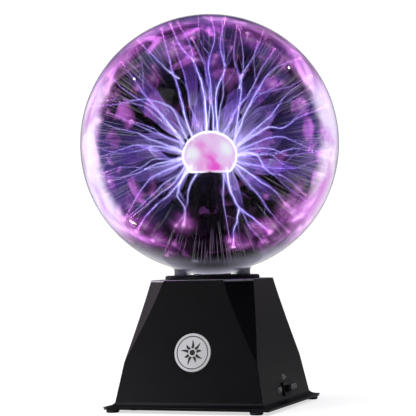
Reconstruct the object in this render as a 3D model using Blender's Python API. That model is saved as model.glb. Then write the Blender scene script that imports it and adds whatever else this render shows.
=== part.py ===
"""Plasma ball: a gas-filled glass globe on a faceted black pyramid base that holds its high-voltage driver.

Frame: +Z up, origin on the table under the globe's axis, the badge on -Y and the slide switch on +X.
Every named object is one physical piece. Sizes are in millimetres, times MM.
"""

import math

import bmesh
import bpy
from mathutils import Matrix, Vector

MM = 0.001
GAP = 0.3 * MM  # clearance left between pieces that touch

# ---- driving dimensions -------------------------------------------------------------------------
GLOBE_RADIUS = 89.0 * MM
GLOBE_CENTRE_Z = 179.3 * MM
GLASS_WALL = 1.6 * MM
NECK_RADIUS = 26.0 * MM
NECK_END_Z = 69.6 * MM

BASE_TOP_Z = 86.6 * MM
BASE_HALF_BOTTOM = 51.75 * MM  # half width of the pyramid where it meets the skirt
BASE_HALF_TOP = 36.7 * MM
SKIRT_HALF = 57.8 * MM
SKIRT_BOTTOM_Z = 3.4 * MM
SKIRT_TOP_Z = 5.8 * MM
WALL = 2.24 * MM  # measured along a row axis
TOP_PLATE = 2.6 * MM
FACET_START_Z = 32.0 * MM  # the corner facets grow from here up to the top
FACET_TOP = 15.5 * MM  # leg of the corner facet at the top
FACET_CURVE = 1.25

PLATE_BOTTOM_Z = 2.2 * MM
PLATE_TOP_Z = 3.1 * MM
PLATE_HALF = 57.3 * MM
FOOT_RADIUS = 4.4 * MM
FOOT_OFFSET = 52.8 * MM
FRONT_RIGHT_FOOT_SHIFT = 5.0 * MM  # this stuck-on foot sits further in than the others

STEM_RADIUS_TOP = 8.8 * MM
STEM_WALL = 1.2 * MM
BULB_RADIUS = 19.0 * MM
BULB_HALF_HEIGHT = 17.0 * MM
BULB_CENTRE_Z = 171.3 * MM
BULB_CUT_Z = 160.0 * MM

BOARD_BOTTOM_Z = 9.0 * MM
BOARD_THICKNESS = 1.6 * MM
BOARD_HALF_X = 34.0 * MM
BOARD_HALF_Y = 30.0 * MM
BOARD_SCREW_X = 30.0 * MM
BOARD_SCREW_Y = 26.0 * MM
CASE_SCREW_OFFSET = 42.0 * MM

SWITCH_ALONG = 1.7 * MM
SWITCH_HEIGHT = 12.0 * MM
SWITCH_TRAVEL = 3.2 * MM
JACK_HEIGHT = 20.0 * MM
BADGE_ALONG = 2.0 * MM
BADGE_HEIGHT = 39.1 * MM
BADGE_RADIUS = 12.7 * MM

# ---- values worked out from them ----------------------------------------------------------------
WALL_SLOPE = (BASE_HALF_TOP - BASE_HALF_BOTTOM) / (BASE_TOP_Z - SKIRT_TOP_Z)
WALL_LEAN = math.atan(-WALL_SLOPE)
BOARD_TOP_Z = BOARD_BOTTOM_Z + BOARD_THICKNESS
PART_REST_Z = BOARD_TOP_Z + GAP  # where the components stand
CORNERS = {"front_left": (-1, -1), "front_right": (1, -1), "rear_right": (1, 1), "rear_left": (-1, 1)}

SMOOTH_ANGLE = math.radians(35)  # round surfaces are shaded smooth up to this angle, flat ones never


# ---- helpers ------------------------------------------------------------------------------------
def clear_scene():
    for obj in list(bpy.data.objects):
        bpy.data.objects.remove(obj)


def material(name, colour, roughness, metallic=0.0, alpha=1.0):
    """A Principled BSDF, made once for each name."""
    found = bpy.data.materials.get(name)
    if found:
        return found
    made = bpy.data.materials.new(name)
    made.use_nodes = True
    shader = made.node_tree.nodes["Principled BSDF"]
    shader.inputs["Base Color"].default_value = (*colour, 1.0)
    shader.inputs["Roughness"].default_value = roughness
    shader.inputs["Metallic"].default_value = metallic
    shader.inputs["Alpha"].default_value = alpha
    made.diffuse_color = (*colour, alpha)
    return made


def black_plastic():
    return material("black_plastic", (0.018, 0.017, 0.020), 0.38)


def black_rubber():
    return material("black_rubber", (0.015, 0.015, 0.015), 0.75)


def clear_glass():
    return material("clear_glass", (0.92, 0.95, 0.98), 0.03, alpha=0.25)


def bright_steel():
    return material("bright_steel", (0.62, 0.62, 0.64), 0.32, 1.0)


def ferrite():
    return material("ferrite", (0.06, 0.06, 0.065), 0.55)


def copper():
    return material("copper_winding", (0.60, 0.24, 0.09), 0.35, 1.0)


def aluminium():
    return material("aluminium", (0.72, 0.73, 0.74), 0.35, 1.0)


def white_nylon():
    return material("white_nylon", (0.80, 0.79, 0.75), 0.5)


def object_from(name, bm, surface, parent=None):
    """Closes off a bmesh as one named object with its faces pointing out."""
    bmesh.ops.remove_doubles(bm, verts=bm.verts, dist=1e-7)
    bmesh.ops.recalc_face_normals(bm, faces=bm.faces)
    for edge in bm.edges:
        edge.smooth = edge.is_manifold and edge.calc_face_angle() < SMOOTH_ANGLE
    mesh = bpy.data.meshes.new(name)
    bm.to_mesh(mesh)
    bm.free()
    if surface:
        mesh.materials.append(surface)
    obj = bpy.data.objects.new(name, mesh)
    bpy.context.scene.collection.objects.link(obj)
    obj.parent = parent
    return obj


def add_box(bm, low, high):
    centre = [(a + b) / 2 for a, b in zip(low, high)]
    size = [b - a for a, b in zip(low, high)]
    place = Matrix.Translation(centre) @ Matrix.Diagonal((*size, 1.0))
    bmesh.ops.create_cube(bm, size=1.0, matrix=place)


def add_rod(bm, radius, start, end, segments=16):
    """A cylinder between two points."""
    start, end = Vector(start), Vector(end)
    axis = end - start
    turn = Vector((0, 0, 1)).rotation_difference(axis).to_matrix().to_4x4()
    place = Matrix.Translation((start + end) / 2) @ turn
    made = bmesh.ops.create_cone(
        bm, cap_ends=True, segments=segments, radius1=radius, radius2=radius, depth=axis.length, matrix=place
    )
    for face in {face for vert in made["verts"] for face in vert.link_faces}:
        face.smooth = len(face.verts) == 4


def box(name, low, high, surface, parent=None):
    bm = bmesh.new()
    add_box(bm, low, high)
    return object_from(name, bm, surface, parent)


def prism(name, outline, bottom, top, surface, parent=None):
    """An outline of (x, y) points extruded from bottom to top."""
    bm = bmesh.new()
    face = bm.faces.new([bm.verts.new((x, y, bottom)) for x, y in outline])
    grown = bmesh.ops.extrude_face_region(bm, geom=[face])
    raised = [v for v in grown["geom"] if isinstance(v, bmesh.types.BMVert)]
    bmesh.ops.translate(bm, verts=raised, vec=(0, 0, top - bottom))
    return object_from(name, bm, surface, parent)


def turned_mesh(profile, segments):
    """Spins (radius, height) points about Z. A profile that starts and ends on the axis stays open there."""
    bm = bmesh.new()
    verts = [bm.verts.new((r, 0, z)) for r, z in profile]
    on_axis = profile[0][0] == 0 and profile[-1][0] == 0
    pairs = list(zip(verts, verts[1:]))
    if not on_axis:
        pairs.append((verts[-1], verts[0]))
    edges = [bm.edges.new(pair) for pair in pairs]
    geom, turn = verts + edges, 2 * math.pi
    bmesh.ops.spin(bm, geom=geom, cent=(0, 0, 0), axis=(0, 0, 1), angle=turn, steps=segments, use_merge=True)
    for face in bm.faces:
        face.smooth = True
    return bm


def turned(name, profile, surface, segments=24, parent=None):
    return object_from(name, turned_mesh(profile, segments), surface, parent)


def loft_mesh(rings, smooth_rows=()):
    """Bridges closed rings of points, each with as many points as the next, and caps both ends."""
    bm = bmesh.new()
    rows = [[bm.verts.new(p) for p in ring] for ring in rings]
    for k, (lower, upper) in enumerate(zip(rows, rows[1:])):
        for i in range(len(lower)):
            j = (i + 1) % len(lower)
            face = bm.faces.new((lower[i], lower[j], upper[j], upper[i]))
            face.smooth = k in smooth_rows
    bm.faces.new(list(reversed(rows[0])))
    bm.faces.new(rows[-1])
    return bm


def hide_tool(obj):
    obj.hide_render = True
    obj.display_type = "WIRE"


def combine(target, tool, operation):
    modifier = target.modifiers.new(tool.name, "BOOLEAN")
    modifier.object = tool
    modifier.operation = operation
    modifier.solver = "EXACT"
    hide_tool(tool)


def cut(target, tool):
    combine(target, tool, "DIFFERENCE")


def join(target, tool):
    combine(target, tool, "UNION")


def smooth_route(points, steps):
    """Points of a Catmull-Rom curve through the given ones."""
    ends = [2 * points[0] - points[1], *points, 2 * points[-1] - points[-2]]
    route = []
    for a, b, c, d in zip(ends, ends[1:], ends[2:], ends[3:]):
        for k in range(steps):
            t = k / steps
            bend = (2 * a - 5 * b + 4 * c - d) * t**2 + (3 * b - a - 3 * c + d) * t**3
            route.append(0.5 * (2 * b + (c - a) * t + bend))
    return [*route, points[-1]]


def lead(name, points, radius, surface, steps=4, thickness=None):
    """A round wire along a route. thickness scales the radius at each point."""
    curve = bpy.data.curves.new(name, "CURVE")
    curve.dimensions = "3D"
    curve.bevel_depth = radius
    curve.bevel_resolution = 2
    curve.use_fill_caps = True
    route = smooth_route([Vector(p) for p in points], steps) if steps > 1 else [Vector(p) for p in points]
    spline = curve.splines.new("POLY")
    spline.points.add(len(route) - 1)
    for i, p in enumerate(route):
        spline.points[i].co = (*p, 1.0)
        spline.points[i].radius = thickness[i] if thickness else 1.0
    curve.materials.append(surface)
    obj = bpy.data.objects.new(name, curve)
    bpy.context.scene.collection.objects.link(obj)
    return obj


def wall_half(z):
    """Half width of the pyramid's flat outer wall at a height."""
    return BASE_HALF_BOTTOM + WALL_SLOPE * (z - SKIRT_TOP_Z)


def wall_frame(name, facing, along, height):
    """An empty on a wall's outer face: its X points out of the wall, its Y runs along it, its Z climbs it."""
    spin = Matrix.Rotation(facing, 4, "Z")
    lean = Matrix.Rotation(-WALL_LEAN, 4, "Y")
    empty = bpy.data.objects.new(name, None)
    bpy.context.scene.collection.objects.link(empty)
    empty.matrix_world = spin @ Matrix.Translation((wall_half(height), along, height)) @ lean
    return empty


# ---- base: housing, plate, feet, screws ----------------------------------------------------------
def facet_leg(z):
    """How far the corner facet reaches along each side at a height."""
    share = (z - FACET_START_Z) / (BASE_TOP_Z - FACET_START_Z)
    return FACET_TOP * (1 - (1 - min(max(share, 0.0), 1.0)) ** FACET_CURVE)


def octagon(half, leg, z):
    """A square with its corners cut off by leg, as a ring of eight points."""
    near = half - leg
    quarter = [(near, -half), (half, -near)]
    return [
        (c * x - s * y, s * x + c * y, z) for c, s in ((1, 0), (0, 1), (-1, 0), (0, -1)) for x, y in quarter
    ]


def housing_outer():
    rings = [octagon(SKIRT_HALF, 0, SKIRT_BOTTOM_Z)]
    skirt_steps = 5
    skirt_rise = 3.4 * MM
    skirt_run = SKIRT_HALF - wall_half(SKIRT_BOTTOM_Z + 0.6 * MM + skirt_rise)
    for k in range(skirt_steps + 1):  # a hollow quarter curve from the skirt's edge up to the wall
        turn = math.pi / 2 * k / skirt_steps
        rings.append(
            octagon(
                SKIRT_HALF - skirt_run * math.sin(turn),
                0,
                SKIRT_BOTTOM_Z + 0.6 * MM + skirt_rise * (1 - math.cos(turn)),
            )
        )
    top_break = 0.7 * MM
    levels = 8
    for k in range(levels + 1):
        z = FACET_START_Z + (BASE_TOP_Z - top_break - FACET_START_Z) * k / levels
        rings.append(octagon(wall_half(z), facet_leg(z), z))
    rings.append(octagon(BASE_HALF_TOP - top_break, FACET_TOP - 0.586 * top_break, BASE_TOP_Z))
    return loft_mesh(rings, range(1, skirt_steps + 1))


def housing_cavity():
    """The inside of the housing: its walls offset inwards, open at the bottom."""
    levels = [0.0, SKIRT_TOP_Z, FACET_START_Z, 46 * MM, 60 * MM, 74 * MM, BASE_TOP_Z - TOP_PLATE]
    leg_loss = (2 - math.sqrt(2)) * WALL
    rings = [octagon(wall_half(z) - WALL, max(facet_leg(z) - leg_loss, 0.0), z) for z in levels]
    return loft_mesh(rings)


def make_housing(frames):
    plastic = black_plastic()
    housing = object_from("base_housing", housing_outer(), plastic)
    cut(housing, object_from("cavity_tool", housing_cavity(), None))

    posts = bmesh.new()
    for sx, sy in CORNERS.values():
        x, y = sx * CASE_SCREW_OFFSET, sy * CASE_SCREW_OFFSET
        add_rod(posts, 3.6 * MM, (x, y, SKIRT_BOTTOM_Z + 0.4 * MM), (x, y, 32 * MM), 14)
    join(housing, object_from("case_post_tool", posts, None))

    bosses = bmesh.new()
    for side in (-1, 1):
        add_rod(bosses, 2.7 * MM, (-1.2 * MM, side * 10 * MM, 0), (-4.7 * MM, side * 10 * MM, 0), 12)
    join(housing, object_from("switch_boss_tool", bosses, None, frames["switch"]))

    holes = bmesh.new()
    add_rod(holes, 30.7 * MM, (0, 0, 80 * MM), (0, 0, 92 * MM), 40)
    for sx, sy in CORNERS.values():
        x, y = sx * CASE_SCREW_OFFSET, sy * CASE_SCREW_OFFSET
        add_rod(holes, 1.75 * MM, (x, y, 0), (x, y, 18 * MM), 10)
    cut(housing, object_from("case_hole_tool", holes, None))

    slot = bmesh.new()
    reach = SWITCH_TRAVEL + 2.9 * MM
    add_box(slot, (-3.2 * MM, -reach, -2.5 * MM), (2 * MM, reach, 2.5 * MM))
    for side in (-1, 1):
        add_rod(slot, 1.3 * MM, (-1.0 * MM, side * 10 * MM, 0), (-6 * MM, side * 10 * MM, 0), 10)
    cut(housing, object_from("switch_slot_tool", slot, None, frames["switch"]))

    jack = bmesh.new()
    add_rod(jack, 5.3 * MM, (-5 * MM, 0, 0), (3 * MM, 0, 0), 20)
    add_rod(jack, 1.2 * MM, (-5 * MM, -16 * MM, 0), (3 * MM, -16 * MM, 0), 10)
    cut(housing, object_from("rear_hole_tool", jack, None, frames["jack"]))

    pocket = bmesh.new()
    add_rod(pocket, BADGE_RADIUS + GAP, (-0.6 * MM, 0, 0), (3 * MM, 0, 0), 36)
    cut(housing, object_from("badge_pocket_tool", pocket, None, frames["badge"]))


def make_bottom_plate():
    plate = prism(
        "bottom_plate",
        [(x * PLATE_HALF, y * PLATE_HALF) for x, y in ((-1, -1), (1, -1), (1, 1), (-1, 1))],
        PLATE_BOTTOM_Z,
        PLATE_TOP_Z,
        black_plastic(),
    )
    posts = bmesh.new()
    holes = bmesh.new()
    for sx, sy in CORNERS.values():
        x, y = sx * BOARD_SCREW_X, sy * BOARD_SCREW_Y
        add_rod(posts, 3.2 * MM, (x, y, PLATE_BOTTOM_Z + 0.7 * MM), (x, y, BOARD_BOTTOM_Z - GAP), 12)
        add_rod(holes, 1.5 * MM, (x, y, PLATE_TOP_Z), (x, y, BOARD_TOP_Z), 10)
        x, y = sx * CASE_SCREW_OFFSET, sy * CASE_SCREW_OFFSET
        add_rod(holes, 1.75 * MM, (x, y, 0), (x, y, 6 * MM), 10)
    vents = 6
    for k in range(vents):
        x = (k - (vents - 1) / 2) * 7 * MM
        add_box(holes, (x - 1.3 * MM, -15 * MM, 0), (x + 1.3 * MM, 15 * MM, 6 * MM))
    join(plate, object_from("board_post_tool", posts, None))
    cut(plate, object_from("plate_hole_tool", holes, None))


def make_feet():
    top = PLATE_BOTTOM_Z - GAP
    profile = [
        (0, 0), (0.66 * FOOT_RADIUS, 0), (0.9 * FOOT_RADIUS, 0.35 * MM), (FOOT_RADIUS, 1.1 * MM),
        (FOOT_RADIUS, top), (0, top),
    ]
    for corner, (sx, sy) in CORNERS.items():
        foot = turned(f"foot_{corner}", profile, black_rubber(), 18)
        shift = FRONT_RIGHT_FOOT_SHIFT if corner == "front_right" else 0
        foot.location = (sx * FOOT_OFFSET - shift, sy * FOOT_OFFSET, 0)


def screw_profile(shank, length, head, head_height):
    """A pan-head screw with its head's seat at height 0 and its shank rising from it."""
    return [
        (0, length), (0.4 * shank, length), (shank, length - shank), (shank, 0),
        (head, 0), (head, -0.4 * head_height), (0.7 * head, -head_height), (0, -head_height),
    ]


def cross_outline(reach, half):
    """A plus sign as (x, y) points."""
    arm = [(half, half), (half, reach), (-half, reach)]
    return [(c * x - s * y, s * x + c * y) for c, s in ((1, 0), (0, 1), (-1, 0), (0, -1)) for x, y in arm]


def make_case_screws():
    for corner, (sx, sy) in CORNERS.items():
        profile = screw_profile(1.4 * MM, 13 * MM, 2.7 * MM, 1.4 * MM)
        screw = turned(f"case_screw_{corner}", profile, bright_steel(), 12)
        screw.location = (sx * CASE_SCREW_OFFSET, sy * CASE_SCREW_OFFSET, PLATE_BOTTOM_Z - GAP)
        recess = prism(f"recess_tool_{corner}", cross_outline(1.6 * MM, 0.35 * MM), -2 * MM, -0.6 * MM, None)
        recess.location = screw.location
        cut(screw, recess)


# ---- globe, stem and what holds them ---------------------------------------------------------------
def arc(centre, radius_x, radius_z, start, end, count):
    """Points of (radius, height) along an ellipse, from one angle above the horizontal to another."""
    steps = [start + (end - start) * k / (count - 1) for k in range(count)]
    return [(centre[0] + radius_x * math.cos(a), centre[1] + radius_z * math.sin(a)) for a in steps]


def with_pole(points):
    """Puts the last point exactly on the axis."""
    return [*points[:-1], (0, points[-1][1])]


def globe_side(inset, rows):
    """One skin of the globe from the neck's end up to the pole: neck, shoulder, sphere."""
    radius = GLOBE_RADIUS - inset
    neck = NECK_RADIUS - inset
    leave = math.asin(-0.947)  # the angle at which the sphere gives way to the shoulder
    shoulder_z = GLOBE_CENTRE_Z + radius * math.sin(leave)
    shoulder_r = radius * math.cos(leave)
    shoulder = [
        (neck, NECK_END_Z),
        (neck, shoulder_z - 2.9 * MM),
        (neck + 0.14 * (shoulder_r - neck), shoulder_z - 1.7 * MM),
        (neck + 0.46 * (shoulder_r - neck), shoulder_z - 0.75 * MM),
    ]
    return shoulder + with_pole(arc((0, GLOBE_CENTRE_Z), radius, radius, leave, math.pi / 2, rows))


def make_globe():
    outer = globe_side(0.0, 16)
    inner = globe_side(GLASS_WALL, 11)
    turned("glass_globe", [*reversed(outer), *inner], clear_glass(), 36)


def stem_radius(z):
    """The stem narrows steadily from the neck up to the electrode bulb."""
    share = (z - 78 * MM) / (154 * MM - 78 * MM)
    return STEM_RADIUS_TOP + 5.0 * MM * max(1 - share, 0.0) ** 1.2


def stem_side(inset):
    """One skin of the stem glass from its flared foot to the top of the electrode bulb."""
    foot = NECK_RADIUS - GLASS_WALL - 0.4 * MM - inset
    rise = [foot, foot - 1.5 * MM, foot - 5.5 * MM, foot - 8.6 * MM]
    points = [(r, NECK_END_Z + 0.4 * MM + dz * MM) for r, dz in zip(rise, (0.0, 1.8, 4.2, 6.6))]
    points += [(stem_radius(z * MM) - inset, z * MM) for z in (82, 90, 102, 116, 132, 146, 156)]
    cut_z = BULB_CUT_Z + inset
    wide, tall = BULB_RADIUS - inset, BULB_HALF_HEIGHT - inset
    leave = math.asin((cut_z - BULB_CENTRE_Z) / tall)
    points.append((STEM_RADIUS_TOP - inset + 0.4 * MM, cut_z - 1.2 * MM))
    points.append((STEM_RADIUS_TOP - inset + 1.6 * MM, cut_z))
    return points + with_pole(arc((0, BULB_CENTRE_Z), wide, tall, leave, math.pi / 2, 10))


def make_stem():
    outer = stem_side(0.0)
    inner = stem_side(STEM_WALL)
    turned("stem_glass", [*reversed(outer), *inner], clear_glass(), 24)

    levels = [z * MM for z in (80, 96, 116, 138, 158)]
    skin = STEM_WALL + 0.4 * MM
    sleeve_wall = 1.2 * MM
    outside = [(stem_radius(z) - skin, z) for z in reversed(levels)]
    inside = [(stem_radius(z) - skin - sleeve_wall, z) for z in levels]
    turned("stem_sleeve", outside + inside, black_rubber(), 20)

    lining_wall = 0.8 * MM
    clearance = STEM_WALL + 0.4 * MM
    skins = []
    for inset in (clearance, clearance + lining_wall):
        wide, tall = BULB_RADIUS - inset, BULB_HALF_HEIGHT - inset
        skins.append(with_pole(arc((0, BULB_CENTRE_Z), wide, tall, -0.62, math.pi / 2, 8)))
    lining = material("electrode_coating", (0.55, 0.50, 0.56), 0.45, 0.8)
    turned("electrode_lining", [*reversed(skins[0]), *skins[1]], lining, 20)

    wool = material("steel_wool", (0.38, 0.37, 0.37), 0.6, 1.0)
    pad = arc((0, 170 * MM), 8 * MM, 9 * MM, -math.pi / 2, math.pi / 2, 9)
    turned("contact_wool", with_pole([(0, pad[0][1]), *pad[1:]]), wool, 16)


def make_neck_fittings():
    collar_top = BASE_TOP_Z + 2.7 * MM
    lip = NECK_RADIUS + 0.4 * MM
    collar_side = 32.3 * MM
    spigot_outer, spigot_inner = 30.4 * MM, 28.4 * MM
    seat = BASE_TOP_Z + GAP
    crown = 1.3 * MM
    rim = arc((collar_side - crown, collar_top - crown), crown, crown, 0, math.pi / 2, 4)
    profile = [
        (spigot_outer, 79 * MM), (spigot_outer, seat), (collar_side, seat), *rim,
        (lip, collar_top - 0.3 * MM), (lip, collar_top - 1.3 * MM),
        (spigot_inner, collar_top - 1.3 * MM), (spigot_inner, 79 * MM),
    ]
    turned("globe_collar", profile, black_plastic(), 40)

    band_inner, band_outer = NECK_RADIUS + GAP, spigot_inner - GAP
    band = [
        (band_outer, 79.5 * MM), (band_outer, collar_top - 1.6 * MM),
        (band_inner, collar_top - 1.6 * MM), (band_inner, 79.5 * MM),
    ]
    turned("neck_gasket", band, black_rubber(), 32)

    under_top = BASE_TOP_Z - TOP_PLATE - GAP
    ring = [
        (34.0 * MM, under_top - 2.8 * MM), (34.0 * MM, under_top),
        (spigot_outer + GAP, under_top), (spigot_outer + GAP, under_top - 2.8 * MM),
    ]
    turned("collar_retainer", ring, white_nylon(), 32)

    plug_top = NECK_END_Z - GAP
    plug = [
        (2.1 * MM, plug_top + 6 * MM), (2.1 * MM, 65 * MM), (27.0 * MM, 65 * MM), (27.8 * MM, 66 * MM),
        (27.8 * MM, plug_top), (16.0 * MM, plug_top), (11.0 * MM, plug_top + 5 * MM),
        (10.0 * MM, plug_top + 6 * MM),
    ]
    turned("neck_plug", plug, white_nylon(), 32)


# ---- driver board and its components ---------------------------------------------------------------
def make_board():
    board = box(
        "driver_board",
        (-BOARD_HALF_X, -BOARD_HALF_Y, BOARD_BOTTOM_Z),
        (BOARD_HALF_X, BOARD_HALF_Y, BOARD_TOP_Z),
        material("circuit_board", (0.46, 0.30, 0.11), 0.55),
    )
    holes = bmesh.new()
    for sx, sy in CORNERS.values():
        x, y = sx * BOARD_SCREW_X, sy * BOARD_SCREW_Y
        add_rod(holes, 1.6 * MM, (x, y, 5 * MM), (x, y, 15 * MM), 12)
    cut(board, object_from("board_hole_tool", holes, None))
    for corner, (sx, sy) in CORNERS.items():
        screw = turned(
            f"board_screw_{corner}", screw_profile(1.2 * MM, 5.6 * MM, 2.4 * MM, 1.5 * MM), bright_steel(), 10
        )
        screw.location = (sx * BOARD_SCREW_X, sy * BOARD_SCREW_Y, BOARD_TOP_Z + GAP)
        screw.rotation_euler = (math.pi, 0, 0)


TRANSFORMER = Vector((-12.0, -4.0, 20.5)) * MM  # centre of the coil; its axis runs along X


def core_outline(side):
    """An E of ferrite, open towards -side, as (x, y) points about the coil's centre."""
    closed_x, back_x = side * 13.3 * MM, side * 9.3 * MM
    open_x = side * GAP / 2
    leg_in, leg_out, tongue = 9.4 * MM, 13.4 * MM, 3.2 * MM
    outline = [
        (closed_x, -leg_out), (closed_x, leg_out), (open_x, leg_out), (open_x, leg_in), (back_x, leg_in),
        (back_x, tongue), (open_x, tongue), (open_x, -tongue), (back_x, -tongue), (back_x, -leg_in),
        (open_x, -leg_in), (open_x, -leg_out),
    ]
    return outline


def make_transformer():
    for name, side in (("ferrite_core_left", -1), ("ferrite_core_right", 1)):
        core = prism(name, core_outline(side), -3.2 * MM, 3.2 * MM, ferrite())
        core.location = TRANSFORMER

    tube_inner, tube_outer, flange = 4.9 * MM, 5.9 * MM, 8.9 * MM
    end, mid = 8.9 * MM, 1.5 * MM
    thick = 1.1 * MM
    spool = [(tube_inner, -end), (tube_inner, end), (flange, end)]
    spool += [(flange, end - thick), (tube_outer, end - thick)]
    spool += [(tube_outer, mid + thick), (flange, mid + thick), (flange, mid), (tube_outer, mid)]
    spool += [(tube_outer, -end + thick), (flange, -end + thick), (flange, -end)]
    lay_down = (0, math.pi / 2, 0)
    bobbin = turned("transformer_bobbin", spool, white_nylon(), 20)
    bobbin.location, bobbin.rotation_euler = TRANSFORMER, lay_down

    windings = (
        ("primary_winding", mid + thick + GAP, end - thick - GAP, 8.0 * MM, copper()),
        (
            "high_voltage_winding",
            -end + thick + GAP,
            mid - GAP,
            8.6 * MM,
            material("coil_tape", (0.62, 0.47, 0.08), 0.5),
        ),
    )
    for name, low, high, outside, surface in windings:
        inside = tube_outer + GAP
        ring = [(inside, low), (inside, high), (outside, high), (outside, low)]
        coil = turned(name, ring, surface, 20)
        coil.location, coil.rotation_euler = TRANSFORMER, lay_down


def make_power_stage():
    fins, pitch = 4, 5.2 * MM
    left, back, front = 4 * MM, 25 * MM, 16.6 * MM
    width = (fins - 1) * pitch + 1.4 * MM
    outline = [(left + width, front), (left, front)]
    for k in range(fins):
        x = left + k * pitch
        outline += [(x, back), (x + 1.4 * MM, back)]
        if k < fins - 1:
            outline += [(x + 1.4 * MM, front + 2 * MM), (x + pitch, front + 2 * MM)]
    heatsink = prism("heatsink", outline, PART_REST_Z, PART_REST_Z + 24 * MM, aluminium())

    centre_x = left + width / 2
    body_front, body_back = 11.9 * MM, front - GAP
    base_z = PART_REST_Z + 4 * MM
    half = 5.0 * MM
    transistor = box(
        "power_transistor",
        (centre_x - half, body_front, base_z),
        (centre_x + half, body_back, base_z + 9 * MM),
        material("component_black", (0.02, 0.02, 0.022), 0.45),
    )
    extra = bmesh.new()
    add_box(
        extra,
        (centre_x - half + 0.01 * MM, body_back - 1.3 * MM, base_z + 5 * MM),
        (centre_x + half - 0.01 * MM, body_back - 0.01 * MM, base_z + 15 * MM),
    )
    for k in (-1, 0, 1):
        x, y = centre_x + k * 2.54 * MM, body_back - 2.4 * MM
        low, high = (x - 0.4 * MM, y - 0.3 * MM, PART_REST_Z), (x + 0.4 * MM, y + 0.3 * MM, base_z + 2 * MM)
        add_box(extra, low, high)
    join(transistor, object_from("transistor_tab_tool", extra, None))
    screw_z = base_z + 12.2 * MM
    for name, target in (("tab_hole_tool", transistor), ("heatsink_hole_tool", heatsink)):
        hole = bmesh.new()
        add_rod(hole, 1.7 * MM, (centre_x, body_front, screw_z), (centre_x, front + 4 * MM, screw_z), 12)
        cut(target, object_from(name, hole, None))
    screw = turned(
        "transistor_screw", screw_profile(1.3 * MM, 5 * MM, 2.6 * MM, 1.6 * MM), bright_steel(), 10
    )
    screw.location = (centre_x, body_back - 1.3 * MM - GAP, screw_z)
    screw.rotation_euler = (-math.pi / 2, 0, 0)


def make_capacitors():
    sleeve = material("capacitor_sleeve", (0.03, 0.05, 0.16), 0.35)
    for name, x, y, radius, height in (
        ("capacitor_main", 10, -19, 5.0, 17.0),
        ("capacitor_timing", -4, -24, 2.6, 8.0),
        ("capacitor_filter", 22, -22, 3.2, 11.5),
    ):
        crimp = 1.6 * MM
        r, h = radius * MM, height * MM
        can = [
            (0, 0), (0.9 * r, 0), (r, 0.06 * r), (r, crimp), (0.92 * r, 1.3 * crimp), (r, 1.6 * crimp),
            (r, h - 0.1 * r), (0.88 * r, h), (0, h),
        ]
        capacitor = turned(name, can, sleeve, 18)
        capacitor.location = (x * MM, y * MM, PART_REST_Z)
    box(
        "film_capacitor",
        (-30 * MM, 17.5 * MM, PART_REST_Z),
        (-18 * MM, 22.5 * MM, PART_REST_Z + 10 * MM),
        material("film_capacitor_red", (0.42, 0.05, 0.03), 0.4),
    )


def make_small_parts():
    low, high = Vector((12, -9.6, 0)) * MM, Vector((22, -3.2, 0)) * MM
    chip_z = PART_REST_Z + 0.8 * MM
    dark = material("component_black", (0.02, 0.02, 0.022), 0.45)
    chip = box("timer_chip", (low.x, low.y, chip_z), (high.x, high.y, chip_z + 3.2 * MM), dark)
    legs = bmesh.new()
    for k in range(4):
        x = low.x + (1.2 + k * 2.54) * MM
        for edge, side in ((low.y, -1), (high.y, 1)):
            outer = edge + side * 0.9 * MM
            inner = edge - side * 0.4 * MM
            leg_low = (x - 0.3 * MM, min(outer, inner), chip_z + 1.3 * MM)
            add_box(legs, leg_low, (x + 0.3 * MM, max(outer, inner), chip_z + 1.6 * MM))
    join(chip, object_from("chip_leg_tool", legs, None))

    stripe = material("resistor_body", (0.62, 0.50, 0.32), 0.5)
    places = {"resistor_gate": (6, 2), "resistor_bias": (6, 7), "resistor_sense": (16, 2)}
    for name, (x, y) in places.items():
        span, body = 4.6, 3.1
        rise, foot_z = 12.6, PART_REST_Z / MM
        heights = ((-span, foot_z), (-span, rise), (-body, rise), (-body + 0.6, rise), (-1.6, rise))
        heights += ((1.6, rise), (body - 0.6, rise), (body, rise), (span, rise), (span, foot_z))
        route = [(x * MM + dx * MM, y * MM, z * MM) for dx, z in heights]
        lead(name, route, 0.35 * MM, stripe, steps=1, thickness=[1, 1, 1, 3.4, 2.8, 2.8, 3.4, 1, 1, 1])


# ---- switch, jack, microphone, badge ---------------------------------------------------------------
def rounded_rectangle(half_y, half_z, corner):
    """(x, y) points of a rectangle with rounded corners, for a prism."""
    points = []
    for quarter, (sy, sz) in enumerate(((1, 1), (-1, 1), (-1, -1), (1, -1))):
        for k in range(4):
            turn = math.pi / 2 * (quarter + k / 3)
            points.append(
                (
                    sy * (half_y - corner) + corner * math.cos(turn),
                    sz * (half_z - corner) + corner * math.sin(turn),
                )
            )
    return points


FACE_OUT = (math.pi / 2, 0, math.pi / 2)  # turns a prism's (x, y, z) to a wall frame's (y, z, x)
AXIS_OUT = (0, math.pi / 2, 0)  # turns a turned piece's Z axis to a wall frame's X


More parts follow.
